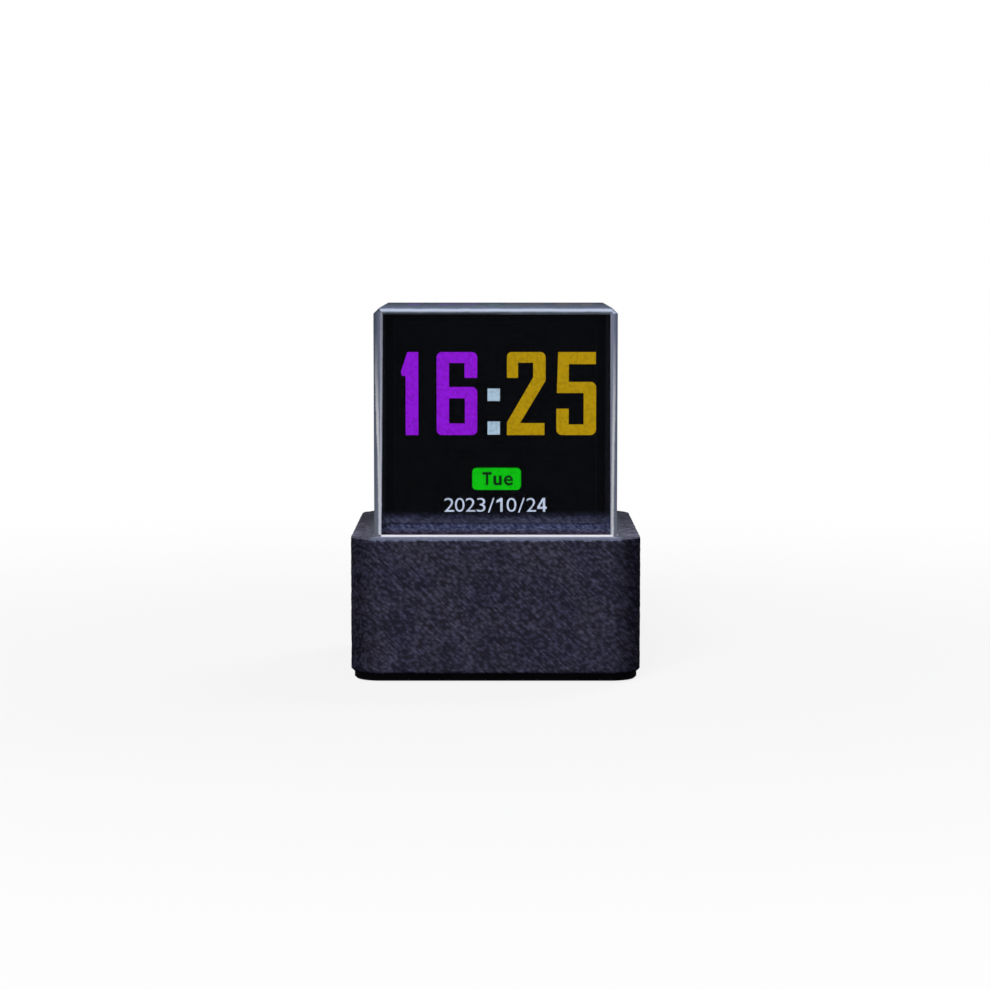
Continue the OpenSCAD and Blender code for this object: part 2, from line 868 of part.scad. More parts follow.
module switch_body() {
    well_l = plunger_in + travel + plunger_rest;
    color([0.12, 0.12, 0.13])
    difference() {
        bar_y(switch_x, switch_z, switch_back - switch_d, switch_back)
            square([switch_w, switch_h], center = true);
        bar_y(switch_x, switch_z, switch_back - well_l, switch_back + over)
            square([plunger_w + 2 * plunger_gap, plunger_h + 2 * plunger_gap], center = true);
    }
}

module switch_plunger() {
    color([0.8, 0.78, 0.7])
    bar_y(switch_x, switch_z, switch_back - plunger_in, tip_y)
        square([plunger_w, plunger_h], center = true);
}

module mode_button() {
    face_y = rear_y - button_sub;
    color([0.05, 0.05, 0.055]) {
        bar_y(switch_x, switch_z, tip_y, flange_y)
            circle(d = flange_d);
        bar_y(switch_x, switch_z, flange_y - fuse, face_y - button_chamfer)
            circle(d = button_d);
        translate([switch_x, face_y - button_chamfer, switch_z])
            rotate([-90, 0, 0])
                cylinder(d1 = button_d, d2 = button_d - 2 * button_chamfer, h = button_chamfer);
    }
}

base_shell();
bottom_cover();
foot_pad();
cover_screws();
front_prism();
rear_prism();
splitter_film();
backing_film();
seal_bead();
prism_tape();
display_tape();
polariser();
filter_glass();
array_glass();
driver_chip();
backlight_frame();
diffuser_sheet();
light_guide();
backlight_lamps();
reflector_sheet();
display_flex();
main_board();
radio_board();
shield_can();
regulator();
chip_capacitors();
chip_resistors();
lamp_transistor();
usb_shell();
usb_tongue();
usb_contacts();
switch_body();
switch_plunger();
mode_button();
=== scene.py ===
import math

import bmesh
import bpy
from mathutils import Matrix, Vector


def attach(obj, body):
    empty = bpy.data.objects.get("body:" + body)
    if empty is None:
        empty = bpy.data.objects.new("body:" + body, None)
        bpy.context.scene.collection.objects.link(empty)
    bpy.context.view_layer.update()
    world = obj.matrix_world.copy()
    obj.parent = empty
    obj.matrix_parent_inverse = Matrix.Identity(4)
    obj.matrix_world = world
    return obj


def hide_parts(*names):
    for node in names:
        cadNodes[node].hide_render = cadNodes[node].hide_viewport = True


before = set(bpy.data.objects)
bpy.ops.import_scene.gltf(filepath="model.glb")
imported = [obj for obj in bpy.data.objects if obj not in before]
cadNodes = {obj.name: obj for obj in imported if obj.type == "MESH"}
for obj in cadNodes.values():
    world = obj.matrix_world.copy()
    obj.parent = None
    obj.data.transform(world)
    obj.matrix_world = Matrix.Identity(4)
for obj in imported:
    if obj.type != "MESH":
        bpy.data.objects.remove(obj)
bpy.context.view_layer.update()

scene = bpy.context.scene
mm = 0.001
print("frame loaded with", len(cadNodes), "nodes")


# small helpers for node trees
def fill(node, inputs):
    # a socket takes a link, or else a number, a vector or a colour
    for key, value in inputs.items():
        socket = node.inputs[key]
        if isinstance(value, bpy.types.NodeSocket):
            node.id_data.links.new(value, socket)
        else:
            socket.default_value = (*value, 1) if socket.type == "RGBA" else value
    return node


def addNode(tree, kind, inputs=None, **settings):
    node = tree.nodes.new(kind)
    for key, value in settings.items():
        setattr(node, key, value)
    return fill(node, inputs or {})


def joinNode(kind, inputs, **settings):
    # a new node in the tree that its linked inputs belong to
    trees = [value.id_data for value in inputs.values() if isinstance(value, bpy.types.NodeSocket)]
    return addNode(trees[0], kind, inputs, **settings)


def mathNode(operation, first, *others):
    for other in others or (0,):
        node = joinNode("ShaderNodeMath", {0: first, 1: other}, operation=operation)
        first = node.outputs[0]
    return first


def times(*values):
    return mathNode("MULTIPLY", *values)


def weighted(*pairs):
    return mathNode("ADD", *[times(value, weight) for value, weight in pairs])


def vectorNode(operation, first, second=(0, 0, 0)):
    other = "Scale" if operation == "SCALE" else 1
    node = joinNode("ShaderNodeVectorMath", {0: first, other: second}, operation=operation)
    return node.outputs["Value" if operation in ("DOT_PRODUCT", "LENGTH") else "Vector"]


def spread(value, span, low=0, high=1, smooth=False):
    # low up to the span's first end, high past its second end
    limits = {0: value, 1: span[0], 2: span[1], 3: low, 4: high}
    kind = "SMOOTHSTEP" if smooth else "LINEAR"
    return joinNode("ShaderNodeMapRange", limits, interpolation_type=kind).outputs[0]


def zone(value, span, low=0, high=1):
    # the same for a span in millimetres
    return spread(value, [end * mm for end in span], low, high)


def tintMix(factor, dark, light, blend="MIX"):
    inputs = {0: factor, 6: dark, 7: light}
    return joinNode("ShaderNodeMix", inputs, data_type="RGBA", blend_type=blend).outputs[2]


def shade(factor, colour, tint):
    return tintMix(factor, colour, tint, "MULTIPLY")


def noiseNode(vector, scale, detail, **others):
    inputs = {"Vector": vector, "Scale": scale, "Detail": detail, **others}
    return joinNode("ShaderNodeTexNoise", inputs).outputs[0]


def bumpNode(height, strength, depth):
    inputs = {"Strength": strength, "Distance": depth * mm, "Height": height}
    return joinNode("ShaderNodeBump", inputs).outputs[0]


def objectSpot(tree):
    return addNode(tree, "ShaderNodeTexCoord").outputs["Object"]


def axesOf(spot):
    return joinNode("ShaderNodeSeparateXYZ", {0: spot}).outputs


def newGroup(name, outputs, **inputs):
    group = bpy.data.node_groups.new(name, "ShaderNodeTree")
    for label, start in inputs.items():
        kind = "NodeSocketVector" if isinstance(start, tuple) else "NodeSocketFloat"
        group.interface.new_socket(label, in_out="INPUT", socket_type=kind).default_value = start
    for label in outputs:
        group.interface.new_socket(label, in_out="OUTPUT", socket_type="NodeSocketFloat")
    return group, addNode(group, "NodeGroupInput").outputs, addNode(group, "NodeGroupOutput")


def useGroup(tree, group, **inputs):
    return addNode(tree, "ShaderNodeGroup", inputs, node_tree=group).outputs


def emptyTree(owner):
    owner.use_nodes = True
    owner.node_tree.nodes.clear()
    return owner.node_tree


def newMaterial(name):
    mat = bpy.data.materials.new(name)
    tree = emptyTree(mat)
    skin = addNode(tree, "ShaderNodeBsdfPrincipled")
    addNode(tree, "ShaderNodeOutputMaterial", {"Surface": skin.outputs[0]})
    return mat, tree, skin


def mixShaders(factor, first, second):
    inputs = {0: factor, 1: first.outputs[0], 2: second.outputs[0]}
    mixed = joinNode("ShaderNodeMixShader", inputs).outputs[0]
    fill(factor.id_data.get_output_node("ALL"), {"Surface": mixed})


# small helpers for meshes
def newPiece(name, mesh, materials=(), body="clock"):
    obj = bpy.data.objects.new(name, mesh)
    scene.collection.objects.link(obj)
    for mat in materials:
        mesh.materials.append(mat)
    if body:
        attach(obj, body)
    return obj


def meshFrom(name, bm):
    mesh = bpy.data.meshes.new(name)
    bm.to_mesh(mesh)
    bm.free()
    return mesh


def closeMesh(mesh, merge=1e-8):
    bm = bmesh.new()
    bm.from_mesh(mesh)
    bmesh.ops.remove_doubles(bm, verts=bm.verts, dist=merge)
    bmesh.ops.recalc_face_normals(bm, faces=bm.faces)
    bm.to_mesh(mesh)
    bm.free()


def meshOf(name, points, faces):
    mesh = bpy.data.meshes.new(name)
    mesh.from_pydata([point * mm for point in points], [], faces)
    closeMesh(mesh)
    return mesh


def smoothMesh(mesh, sharp):
    mesh.shade_smooth()
    mesh.set_sharp_from_angle(angle=math.radians(sharp))


def frozenMesh(obj):
    return bpy.data.meshes.new_from_object(obj.evaluated_get(bpy.context.evaluated_depsgraph_get()))


def between(low, high, t):
    return low + (high - low) * t


# camera at the photograph's viewing point, in millimetres and degrees
view = dict(spot=(-0.08, -366.3, 57.74), tilt=5.423, lens=97.39, sensor=36, near=10)

cameraData = bpy.data.cameras.new("camera")
cameraData.lens = view["lens"]
cameraData.sensor_width = view["sensor"]
cameraData.clip_start = view["near"] * mm
camera = bpy.data.objects.new("camera", cameraData)
camera.location = [c * mm for c in view["spot"]]
camera.rotation_euler = (math.radians(90 - view["tilt"]), 0, 0)
scene.collection.objects.link(camera)
scene.camera = camera
scene.view_settings.view_transform = "Standard"

# fine grain, with a broad drift of tone under it
fineGrain = dict(detail=4, rough=0.6, broadScale=0.09, broadDetail=2, fineShare=0.6, gain=2.2)


def makeGrainGroup(s):
    inputs = dict(Scale=1500, Stretch=(1, 1, 1), Contrast=1)
    tree, given, result = newGroup("fine grain", ("Height", "Tone"), **inputs)
    pulled = vectorNode("MULTIPLY", objectSpot(tree), given["Stretch"])
    fine = noiseNode(pulled, given["Scale"], s["detail"], Roughness=s["rough"])
    broad = noiseNode(pulled, times(given["Scale"], s["broadScale"]), s["broadDetail"])
    blend = weighted((fine, s["fineShare"]), (broad, 1 - s["fineShare"]))
    swing = times(mathNode("SUBTRACT", blend, 0.5), given["Contrast"], s["gain"])
    tone = spread(mathNode("ADD", swing, 0.5), (0, 1))
    fill(result, {"Height": fine, "Tone": tone})
    return tree


# bumps pulled out along one slanting direction, as on a coarse moulded leather grain
leather = dict(
    slant=Vector((1, 1, -0.5)).normalized(), streak=0.64, soft=0.35, domeShare=0.5,
    roughScale=0.75, roughDetail=3, roughShare=0.7,
    patchScale=0.1, patchDetail=2, patchShare=0.25, patch=(0.35, 0.65),
    lineWay=(0.71, 0.71, -0.7), lineAcross=(0.7, 0.7, 0.71), linePull=0.07,
    lineScale=1.6, lineDetail=2, lineShare=0.7, tone=(0.91, 1.42),
)


def drawnOut(spot, slant, streak):
    # coordinates pressed together along the slant, so that a pattern is drawn out along it
    along = times(vectorNode("DOT_PRODUCT", spot, slant), streak)
    return vectorNode("SUBTRACT", spot, vectorNode("SCALE", slant, along))


def makeLeatherGroup(s):
    inputs = dict(Bump=1500, Streak=s["streak"])
    tree, given, result = newGroup("slanted leather", ("Height", "Tone", "Patch"), **inputs)
    where, bump = objectSpot(tree), given["Bump"]
    drawn = drawnOut(where, s["slant"], given["Streak"])
    inputs = {"Vector": drawn, "Scale": bump, "Smoothness": s["soft"]}
    cells = addNode(tree, "ShaderNodeTexVoronoi", inputs, feature="SMOOTH_F1")
    rough = noiseNode(drawn, times(bump, s["roughScale"]), s["roughDetail"])
    patch = noiseNode(where, times(bump, s["patchScale"]), s["patchDetail"])
    # long fine lines that slant down across the front and the sides alike
    along = times(vectorNode("DOT_PRODUCT", where, s["lineWay"]), s["linePull"])
    across = vectorNode("DOT_PRODUCT", where, s["lineAcross"])
    laid = addNode(tree, "ShaderNodeCombineXYZ", {0: along, 1: across}).outputs[0]
    lines = noiseNode(laid, times(bump, s["lineScale"]), s["lineDetail"])
    dome = mathNode("SUBTRACT", 1, cells.outputs["Distance"])
    height = weighted((dome, s["domeShare"]), (rough, s["roughShare"]))
    marks = weighted((patch, s["patchShare"]), (lines, s["lineShare"]))
    tone = spread(mathNode("ADD", height, marks), s["tone"])
    fill(result, {"Height": height, "Tone": tone, "Patch": spread(patch, s["patch"])})
    return tree


# thin film of dust and finger marks that only shifts the gloss
smudges = dict(detail=5, twist=0.8, mask=(0.42, 0.68))


def makeSmudgeGroup(s):
    tree, given, result = newGroup("smudges", ("Mask",), Scale=120)
    cloud = noiseNode(objectSpot(tree), given["Scale"], s["detail"], Distortion=s["twist"])
    fill(result, {"Mask": spread(cloud, s["mask"], smooth=True)})
    return tree


# square raster of a small colour display, for the upright and the lying picture alike
raster = dict(
    pitch=0.1154, line=(0.02, 0.16),
    mottleScale=2600, mottleDetail=2, mottle=(0.36, 0.64), mottleLevel=(0.3, 1.4),
)


def makeRasterGroup(s):
    tree, given, result = newGroup("display raster", ("Mask",), Pitch=s["pitch"] * mm)
    where = objectSpot(tree)
    x, y, z = axesOf(where)
    mottle = noiseNode(where, s["mottleScale"], s["mottleDetail"])
    mask = spread(mottle, s["mottle"], *s["mottleLevel"])
    for source in (x, mathNode("ADD", y, z)):
        step = mathNode("FRACT", mathNode("DIVIDE", source, given["Pitch"]))
        lit = spread(mathNode("PINGPONG", step, 0.5), s["line"], smooth=True)
        mask = times(mask, lit)
    fill(result, {"Mask": mask})
    return tree


grainGroup = makeGrainGroup(fineGrain)
leatherGroup = makeLeatherGroup(leather)
smudgeGroup = makeSmudgeGroup(smudges)
rasterGroup = makeRasterGroup(raster)
print("shared effects built")

# moulded shell, drawn as rings round the base and grained by a rule, in millimetres
shell = dict(
    half=19.1, corner=4, crown=0.25, hem=0.3, foot=1.2, top=19,
    seat=16.25, seatCorner=0.5, seatFloor=16.85, ledgeUnder=15.85,
    window=13.95, windowBack=0.5, inner=17.6, innerCorner=2.5, rise=0.215,
    steps=(140, 30), crownSteps=4, ledgeSteps=8, seatSteps=9, floorSteps=3, innerSteps=4,
    slot=(4.69, 1.82), slotCorner=1.72, slotAt=(0, 9.6), cut=(16.4, 20), cutSteps=(1, 16),
    hole=(2.05, 2.05), holeCorner=2.05, holeAt=(7.57, 9.6),
    relief=0.1, bump=0.5, streak=0.5, seed=7.0, sharp=58,
    cellSoft=0.8, cellShare=0.45, waveScale=0.45, waveDetail=2, waveShare=1.3, level=0.55,
    side=(17.65, 17.85), upper=(18.7, 18.95), upperShare=0.6, hemFade=(1.2, 1.9), hemShare=0.25,
    rim=(16.25, 16.9), rimShare=0.15, wall=(16.86, 17.2), wallShare=0.22, inSeat=(16.4, 16.3),
)


def roundOutline(halves, radius, steps, middle=(0, 0)):
    # a rectangle with round corners, from its half sizes, in steps along each side and each corner
    sides, corners = steps
    signs = ((1, 1), (-1, 1), (-1, -1), (1, -1))

    def rim(k, turn):
        a = math.radians(turn)
        parts = zip(middle, signs[k % 4], halves, (math.cos(a), math.sin(a)))
        return Vector([m + sign * (half - radius) + radius * way for m, sign, half, way in parts])

    points = []
    for k in range(4):
        points += [rim(k, 90 * k + 90 * i / corners) for i in range(corners)]
        tail, head = rim(k, 90 * k + 90), rim(k + 1, 90 * k + 90)
        points += [tail.lerp(head, i / sides) for i in range(sides)]
    return points


def roundRing(half, radius, z, steps, middle=0):
    # a level square ring, its middle shifted along y
    return [Vector((*point, z)) for point in roundOutline((half, half), radius, steps, (0, middle))]


def loftRings(name, rings):
    # each ring joins the next, and the last one the first
    count, total = len(rings[0]), len(rings)
    faces = []
    for r in range(total):
        up = (r + 1) % total
        for i in range(count):
            j = (i + 1) % count
            faces.append((r * count + i, r * count + j, up * count + j, up * count + i))
    return meshOf(name, [point for ring in rings for point in ring], faces)


def shellRings(s):
    rows = []

    def row(half, radius, z, middle=0):
        rows.append(roundRing(half, radius, z, s["steps"], middle))

    def shares(count):
        return [i / count for i in range(1, count + 1)]

    half, corner, crown, top = s["half"], s["corner"], s["crown"], s["top"]
    seat, seatCorner, under = s["seat"], s["seatCorner"], s["ledgeUnder"]
    row(half - s["hem"], corner - s["hem"], s["foot"])
    low, high = s["foot"] + s["hem"], top - crown
    for t in [0] + shares(round((high - low) / s["rise"])):
        row(half, corner, between(low, high, t))
    for t in shares(s["crownSteps"]):
        a = math.radians(90 * t)
        pull = crown * (1 - math.cos(a))
        row(half - pull, corner - pull, high + crown * math.sin(a))
    for t in shares(s["ledgeSteps"]):
        row(between(half - crown, seat, t), between(corner - crown, seatCorner, t), top)
    for t in shares(s["seatSteps"]):
        row(seat, seatCorner, between(top, s["seatFloor"], t))
    for t in shares(s["floorSteps"]):
        row(between(seat, s["window"], t), seatCorner, s["seatFloor"], s["windowBack"] * t)
    row(s["window"], seatCorner, under, s["windowBack"])
    row((s["window"] + s["inner"]) / 2, seatCorner, under, s["windowBack"] / 2)
    for t in [0] + shares(s["innerSteps"]):
        row(s["inner"], s["innerCorner"], between(under, s["foot"], t))
    return rows


def wallCutter(name, outline, depths):
    count = len(outline)
    points = [Vector((x, y, z)) for y in depths for x, z in outline]
    faces = [(i, (i + 1) % count, count + (i + 1) % count, count + i) for i in range(count)]
    faces += [tuple(range(count)), tuple(range(2 * count - 1, count - 1, -1))]
    return newPiece(name, meshOf(name, points, faces), body=None)


# the grain as a node tree: bumps and broad waves, only on the outside and round the seat
def grainTree(s):
    tree = bpy.data.node_groups.new("grained skin", "GeometryNodeTree")
    numbers = dict.fromkeys(("Relief", "Bump", "Streak", "Seed"), "Float")
    for label, kind in {"Geometry": "Geometry", **numbers, "Finish": "Material"}.items():
        tree.interface.new_socket(label, in_out="INPUT", socket_type="NodeSocket" + kind)
    tree.interface.new_socket("Geometry", in_out="OUTPUT", socket_type="NodeSocketGeometry")
    given = addNode(tree, "NodeGroupInput").outputs
    spot = addNode(tree, "GeometryNodeInputPosition").outputs[0]
    drawn = drawnOut(spot, leather["slant"], given["Streak"])
    scale = mathNode("DIVIDE", 1, given["Bump"])
    inputs = {"Vector": drawn, "Scale": scale, "W": given["Seed"], "Smoothness": s["cellSoft"]}
    cells = addNode(tree, "ShaderNodeTexVoronoi", inputs, voronoi_dimensions="4D", feature="SMOOTH_F1")
    broader = times(scale, s["waveScale"])
    inputs = {"Vector": drawn, "Scale": broader, "W": given["Seed"], "Detail": s["waveDetail"]}
    waves = joinNode("ShaderNodeTexNoise", inputs, noise_dimensions="4D")
    lift = weighted((waves.outputs[0], s["waveShare"]), (cells.outputs["Distance"], -s["cellShare"]))
    lift = mathNode("SUBTRACT", lift, s["level"])
    x, y, z = axesOf(spot)
    reach = mathNode("MAXIMUM", mathNode("ABSOLUTE", x), mathNode("ABSOLUTE", y))
    outside = mathNode("MAXIMUM", zone(reach, s["side"]), zone(z, s["upper"], 0, s["upperShare"]))
    outside = times(outside, zone(z, s["hemFade"], s["hemShare"]), zone(reach, s["rim"], s["rimShare"]))
    inside = times(zone(z, s["wall"], 0, s["wallShare"]), zone(reach, s["inSeat"]))
    amount = times(lift, given["Relief"], mathNode("MAXIMUM", outside, inside))
    push = vectorNode("SCALE", addNode(tree, "GeometryNodeInputNormal").outputs[0], amount)
    move = addNode(tree, "GeometryNodeSetPosition", {"Geometry": given["Geometry"], "Offset": push})
    real = addNode(tree, "GeometryNodeRealizeInstances", {0: move.outputs[0]})
    inputs = {"Geometry": real.outputs[0], "Material": given["Finish"]}
    addNode(tree, "NodeGroupOutput", {0: addNode(tree, "GeometryNodeSetMaterial", inputs).outputs[0]})
    return tree


def setInputs(modifier, values):
    for item in modifier.node_group.interface.items_tree:
        if item.item_type == "SOCKET" and item.in_out == "INPUT" and item.name in values:
            modifier[item.identifier] = values[item.name]


def freeze(obj):
    # what the modifiers make becomes the piece's own plain mesh
    mesh = frozenMesh(obj)
    obj.modifiers.clear()
    obj.data = mesh
    return mesh


# colours of the shell, with its painted light and shade, and where they fade, in millimetres
shellLook = dict(
    skin=((0.0186, 0.0179, 0.0316), (0.0795, 0.0758, 0.141)), lean=1.22, greyer=(1.04, 1.04, 0.9),
    # the corner tint is painted shade round the upright corners
    bump=2350, corner=(0.52, 0.52, 0.54), cornerFade=(15, 17.8),
    # the seat colours are painted light on the seat's walls
    seat=((0.034, 0.037, 0.092), (0.165, 0.185, 0.37)), seatFade=(16.42, 16.3),
    # the ledge's tints are painted light, paler towards the front and beside the glass
    ledge=(18.8, 18.98), paintedLedgeLight=((1.35, 1.35, 1.15), (5, 5, 4.2)), frontFade=(6, -13),
    paintedSideGlow=(0.125, 0.15, 0.155), sideFade=(16.35, 17.6), sideShare=0.55,
    # the bloom colours are painted light in front of the glass
    bloom=((0.19, 0.22, 0.33), (0.53, 0.565, 0.74)), bloomFade=(-19, -16.3),
    bloomDip=(0.55, 0.55, 0.58), bloomDipShare=0.6, bloomAhead=(-16.15, -16.25), bloomEnds=(16.8, 15.6),
    bloomEdge=(18.72, 18.96), ragged=0.2,
    speckScale=5200, speckContrast=0.8, speckShare=0.6, speckHeight=0.12, markScale=90,
    worn=(0.1, 0.9), gloss=(0.44, 0.66), depth=0.13, shine=0,
    ledgeCoat=0.12, ledgeSheen=0.32, ledgeRelief=0.7,
)


def makeShellPlastic(s):
    mat, tree, skin = newMaterial("grained plastic")
    grain = useGroup(tree, leatherGroup, Bump=s["bump"])
    speck = useGroup(tree, grainGroup, Scale=s["speckScale"], Contrast=s["speckContrast"])
    marks = useGroup(tree, smudgeGroup, Scale=s["markScale"])
    tone = grain["Tone"]
    x, y, z = axesOf(objectSpot(tree))
    wide, deep = mathNode("ABSOLUTE", x), mathNode("ABSOLUTE", y)
    outside = tintMix(mathNode("POWER", tone, s["lean"]), *s["skin"])
    outside = shade(grain["Patch"], outside, s["greyer"])
    # painted shade: the skin is darker round the upright corners, where the light falls off
    nearer = mathNode("MINIMUM", wide, deep)
    outside = shade(zone(nearer, s["cornerFade"]), outside, s["corner"])
    # painted light: the ledge is paler towards the front, and beside the glass
    ledge = zone(z, s["ledge"])
    level = tintMix(zone(y, s["frontFade"]), *s["paintedLedgeLight"])
    level = shade(ledge, outside, level)
    beside = zone(wide, s["sideFade"], s["sideShare"], 0)
    level = tintMix(times(beside, ledge), level, s["paintedSideGlow"])
    # painted light where light would leak out in front of the glass: it is palest there, with a ragged edge
    bloom = tintMix(zone(y, s["bloomFade"]), *s["bloom"])
    bloom = shade(spread(tone, (0, 1), s["bloomDipShare"], 0), bloom, s["bloomDip"])
    ragged = mathNode("ADD", z, times(tone, s["ragged"] * mm))
    ahead, edge = zone(y, s["bloomAhead"]), zone(ragged, s["bloomEdge"])
    leak = times(ahead, zone(wide, s["bloomEnds"]), edge)
    topped = tintMix(leak, level, bloom)
    # painted light: the seat's walls are paler, standing in for the light that the glass gathers on them
    seat = tintMix(tone, *s["seat"])
    within = zone(mathNode("MAXIMUM", wide, deep), s["seatFade"])
    dull = weighted((speck["Tone"], s["speckShare"]), (marks[0], 1 - s["speckShare"]))
    # the ledge is a little smoother than the sides and has a satin sheen
    rise = mathNode("ADD", grain["Height"], times(speck["Height"], s["speckHeight"]))
    height = times(rise, spread(ledge, (0, 1), 1, s["ledgeRelief"]))
    fill(skin, {
        "Base Color": tintMix(within, topped, seat), "Roughness": spread(dull, s["worn"], *s["gloss"]),
        "Normal": bumpNode(height, 1, s["depth"]), "Specular IOR Level": s["shine"],
        "Coat Weight": times(ledge, s["ledgeCoat"]), "Coat Roughness": s["ledgeSheen"],
    })
    return mat


grainedShell = newPiece("grained_shell", loftRings("grained_shell", shellRings(shell)))
cutters = []
for key in ("slot", "hole"):
    outline = roundOutline(shell[key], shell[key + "Corner"], shell["cutSteps"], shell[key + "At"])
    cutters.append(wallCutter("cut_" + key, outline, shell["cut"]))
for cutter in cutters:
    cut = grainedShell.modifiers.new(cutter.name, "BOOLEAN")
    cut.operation = "DIFFERENCE"
    cut.solver = "EXACT"
    cut.object = cutter
freeze(grainedShell)
for cutter in cutters:
    bpy.data.objects.remove(cutter)
skinNodes = grainedShell.modifiers.new("grain", "NODES")
skinNodes.node_group = grainTree(shell)
setInputs(skinNodes, {
    "Relief": shell["relief"] * mm, "Bump": shell["bump"] * mm, "Streak": shell["streak"],
    "Seed": shell["seed"], "Finish": makeShellPlastic(shellLook),
})
shellMesh = freeze(grainedShell)
smoothMesh(shellMesh, shell["sharp"])
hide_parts("base_shell")
print("grained shell:", len(shellMesh.polygons), "faces")

# glass cube with ground bevels, one block because its prisms are cemented
# the upright front bevels are uneven: side -1 is left, end 1 is the top
glass = dict(
    half=16, foot=17, top=49, bevel=0.75,
    frontBevels={(-1, 1): 1.25, (-1, -1): 0.95, (1, 1): 0.95, (1, -1): 0.85},
    arris=0.035, arrisSteps=2, arrisRound=0.6, flat=0.999, large=100, frontFrom=-14.8, upward=0.5,
    tint=((0.985, 0.99, 1), (0.955, 0.962, 0.975)), markScale=160, bending=1.5,
)


def glassMesh(s):
    half, bevel = s["half"], s["bevel"]
    signs = (-1, 1)
    corners = {}
    bm = bmesh.new()
    for sx, sy, sz in ((a, b, c) for a in signs for b in signs for c in signs):
        end = s["top"] if sz > 0 else s["foot"]
        wide = s["frontBevels"][sx, sz] if sy < 0 else bevel
        inX, inY, inZ = sx * (half - bevel), sy * (half - bevel), end - sz * bevel
        spots = {"x": (sx * half, inY, inZ), "y": (sx * (half - wide), sy * half, inZ), "z": (inX, inY, end)}
        for axis, spot in spots.items():
            corners[sx, sy, sz, axis] = bm.verts.new([c * mm for c in spot])
        bm.faces.new([corners[sx, sy, sz, axis] for axis in "xyz"])
    loop = ((-1, -1), (1, -1), (1, 1), (-1, 1))
    for side in signs:
        bm.faces.new([corners[side, a, b, "x"] for a, b in loop])
        bm.faces.new([corners[a, side, b, "y"] for a, b in loop])
        bm.faces.new([corners[a, b, side, "z"] for a, b in loop])
    for a, b in loop:
        edges = {"xy": ((a, b, -1), (a, b, 1)), "xz": ((a, -1, b), (a, 1, b)), "yz": ((-1, a, b), (1, a, b))}
        for (one, other), (start, end) in edges.items():
            ends = ((start, one), (end, one), (end, other), (start, other))
            bm.faces.new([corners[*spot, axis] for spot, axis in ends])
    bmesh.ops.recalc_face_normals(bm, faces=bm.faces)
    rounding = {"offset": s["arris"] * mm, "segments": s["arrisSteps"], "profile": s["arrisRound"]}
    bmesh.ops.bevel(bm, geom=list(bm.edges), affect="EDGES", **rounding)
    bmesh.ops.recalc_face_normals(bm, faces=bm.faces)
    # polished faces, ground bevels, and the ground bevel along the top of the front
    for face in bm.faces:
        level = max(abs(c) for c in face.normal) > s["flat"] and face.calc_area() > s["large"] * mm * mm
        front = face.calc_center_median().y < s["frontFrom"] * mm and face.normal.z > s["upward"]
        face.material_index = 0 if level else 2 if front else 1
    return meshFrom("glass_block", bm)


def makePolishedGlass(s):
    mat, tree, skin = newMaterial("polished glass")
    marks = useGroup(tree, smudgeGroup, Scale=s["markScale"])
    tint = tintMix(marks[0], *s["tint"])
    fill(skin, {"Base Color": tint, "Roughness": 0, "IOR": s["bending"], "Transmission Weight": 1})
    # lamps reach what lies inside the cube
    path = addNode(tree, "ShaderNodeLightPath").outputs
    lampWay = mathNode("MAXIMUM", path["Is Shadow Ray"], path["Is Diffuse Ray"])
    mixShaders(lampWay, skin, addNode(tree, "ShaderNodeBsdfTransparent"))
    return mat


# colours of the ground bevels from the front edge outwards, and where they change, with painted highlights,
# reflections and shade
groundLook = dict(
    across=(-16, -15.25), scale=4200, wobble=0.16, halves=(-1, 1),
    sideStops=(
        (0, (0.33, 0.36, 0.45)), (0.4, (0.31, 0.34, 0.48)),
        (0.68, (0.21, 0.24, 0.34)), (1, (0.12, 0.15, 0.21)),
    ),
    topStops=(
        (0, (0.012, 0.014, 0.018)), (0.14, (0.03, 0.045, 0.06)), (0.28, (0.19, 0.235, 0.29)),
        (0.45, (0.5, 0.57, 0.7)), (0.6, (0.68, 0.76, 0.95)), (0.76, (0.54, 0.61, 0.79)),
        (0.9, (0.25, 0.29, 0.41)), (1, (0.13, 0.16, 0.22)),
    ),
    lowOuter=(0.26, 0.28, 0.33), lowFade=(20, 28), lowShare=0.8,
    gleam=(0.96, 0.98, 1), gleamStart=0.27, gleamDrift=(0.45, 0.26), gleamClimb=(21, 40),
    gleamNarrow=(1.35, 1), gleamLine=(0.12, 0.26), gleamFade=(46, 33),
    leftLevel=(0.66, 0.46), leftFade=(36, 47), leftLine=(0.7, 0.73, 0.85),
    lineAt=0.17, lineWide=(0.06, 0.16), lineFade=(22, 47), lineLevel=(0.9, 0.25),
    rear=(14.9, 15.2), underBack=(-15.2, -15), underLow=(18.95, 18.8), black=(0.004, 0.0045, 0.006),
    # foot, heel and band are painted tones of the lit seat wall seen through the glass
    foot=((0.02, 0.013, 0.03), (0.09, 0.07, 0.13)), heel=((0.036, 0.04, 0.09), (0.17, 0.195, 0.35)),
    band=((0.026, 0.027, 0.06), (0.108, 0.115, 0.22)), bandLean=2.5,
    sunk=(17.9, 17.7), heelFade=(17.25, 17.6), bandFade=(20.6, 19),
    bump=2200, gloss=(0.35, 0.6), shine=0.06, relief=(0.5, 0.02),
)


def rampNode(factor, stops):
    ramp = joinNode("ShaderNodeValToRGB", {0: factor})
    elements = ramp.color_ramp.elements
    while len(elements) < len(stops):
        elements.new(0.5)
    for element, (spot, colour) in zip(elements, stops):
        element.position = spot
        element.color = (*colour, 1)
    return ramp.outputs[0]


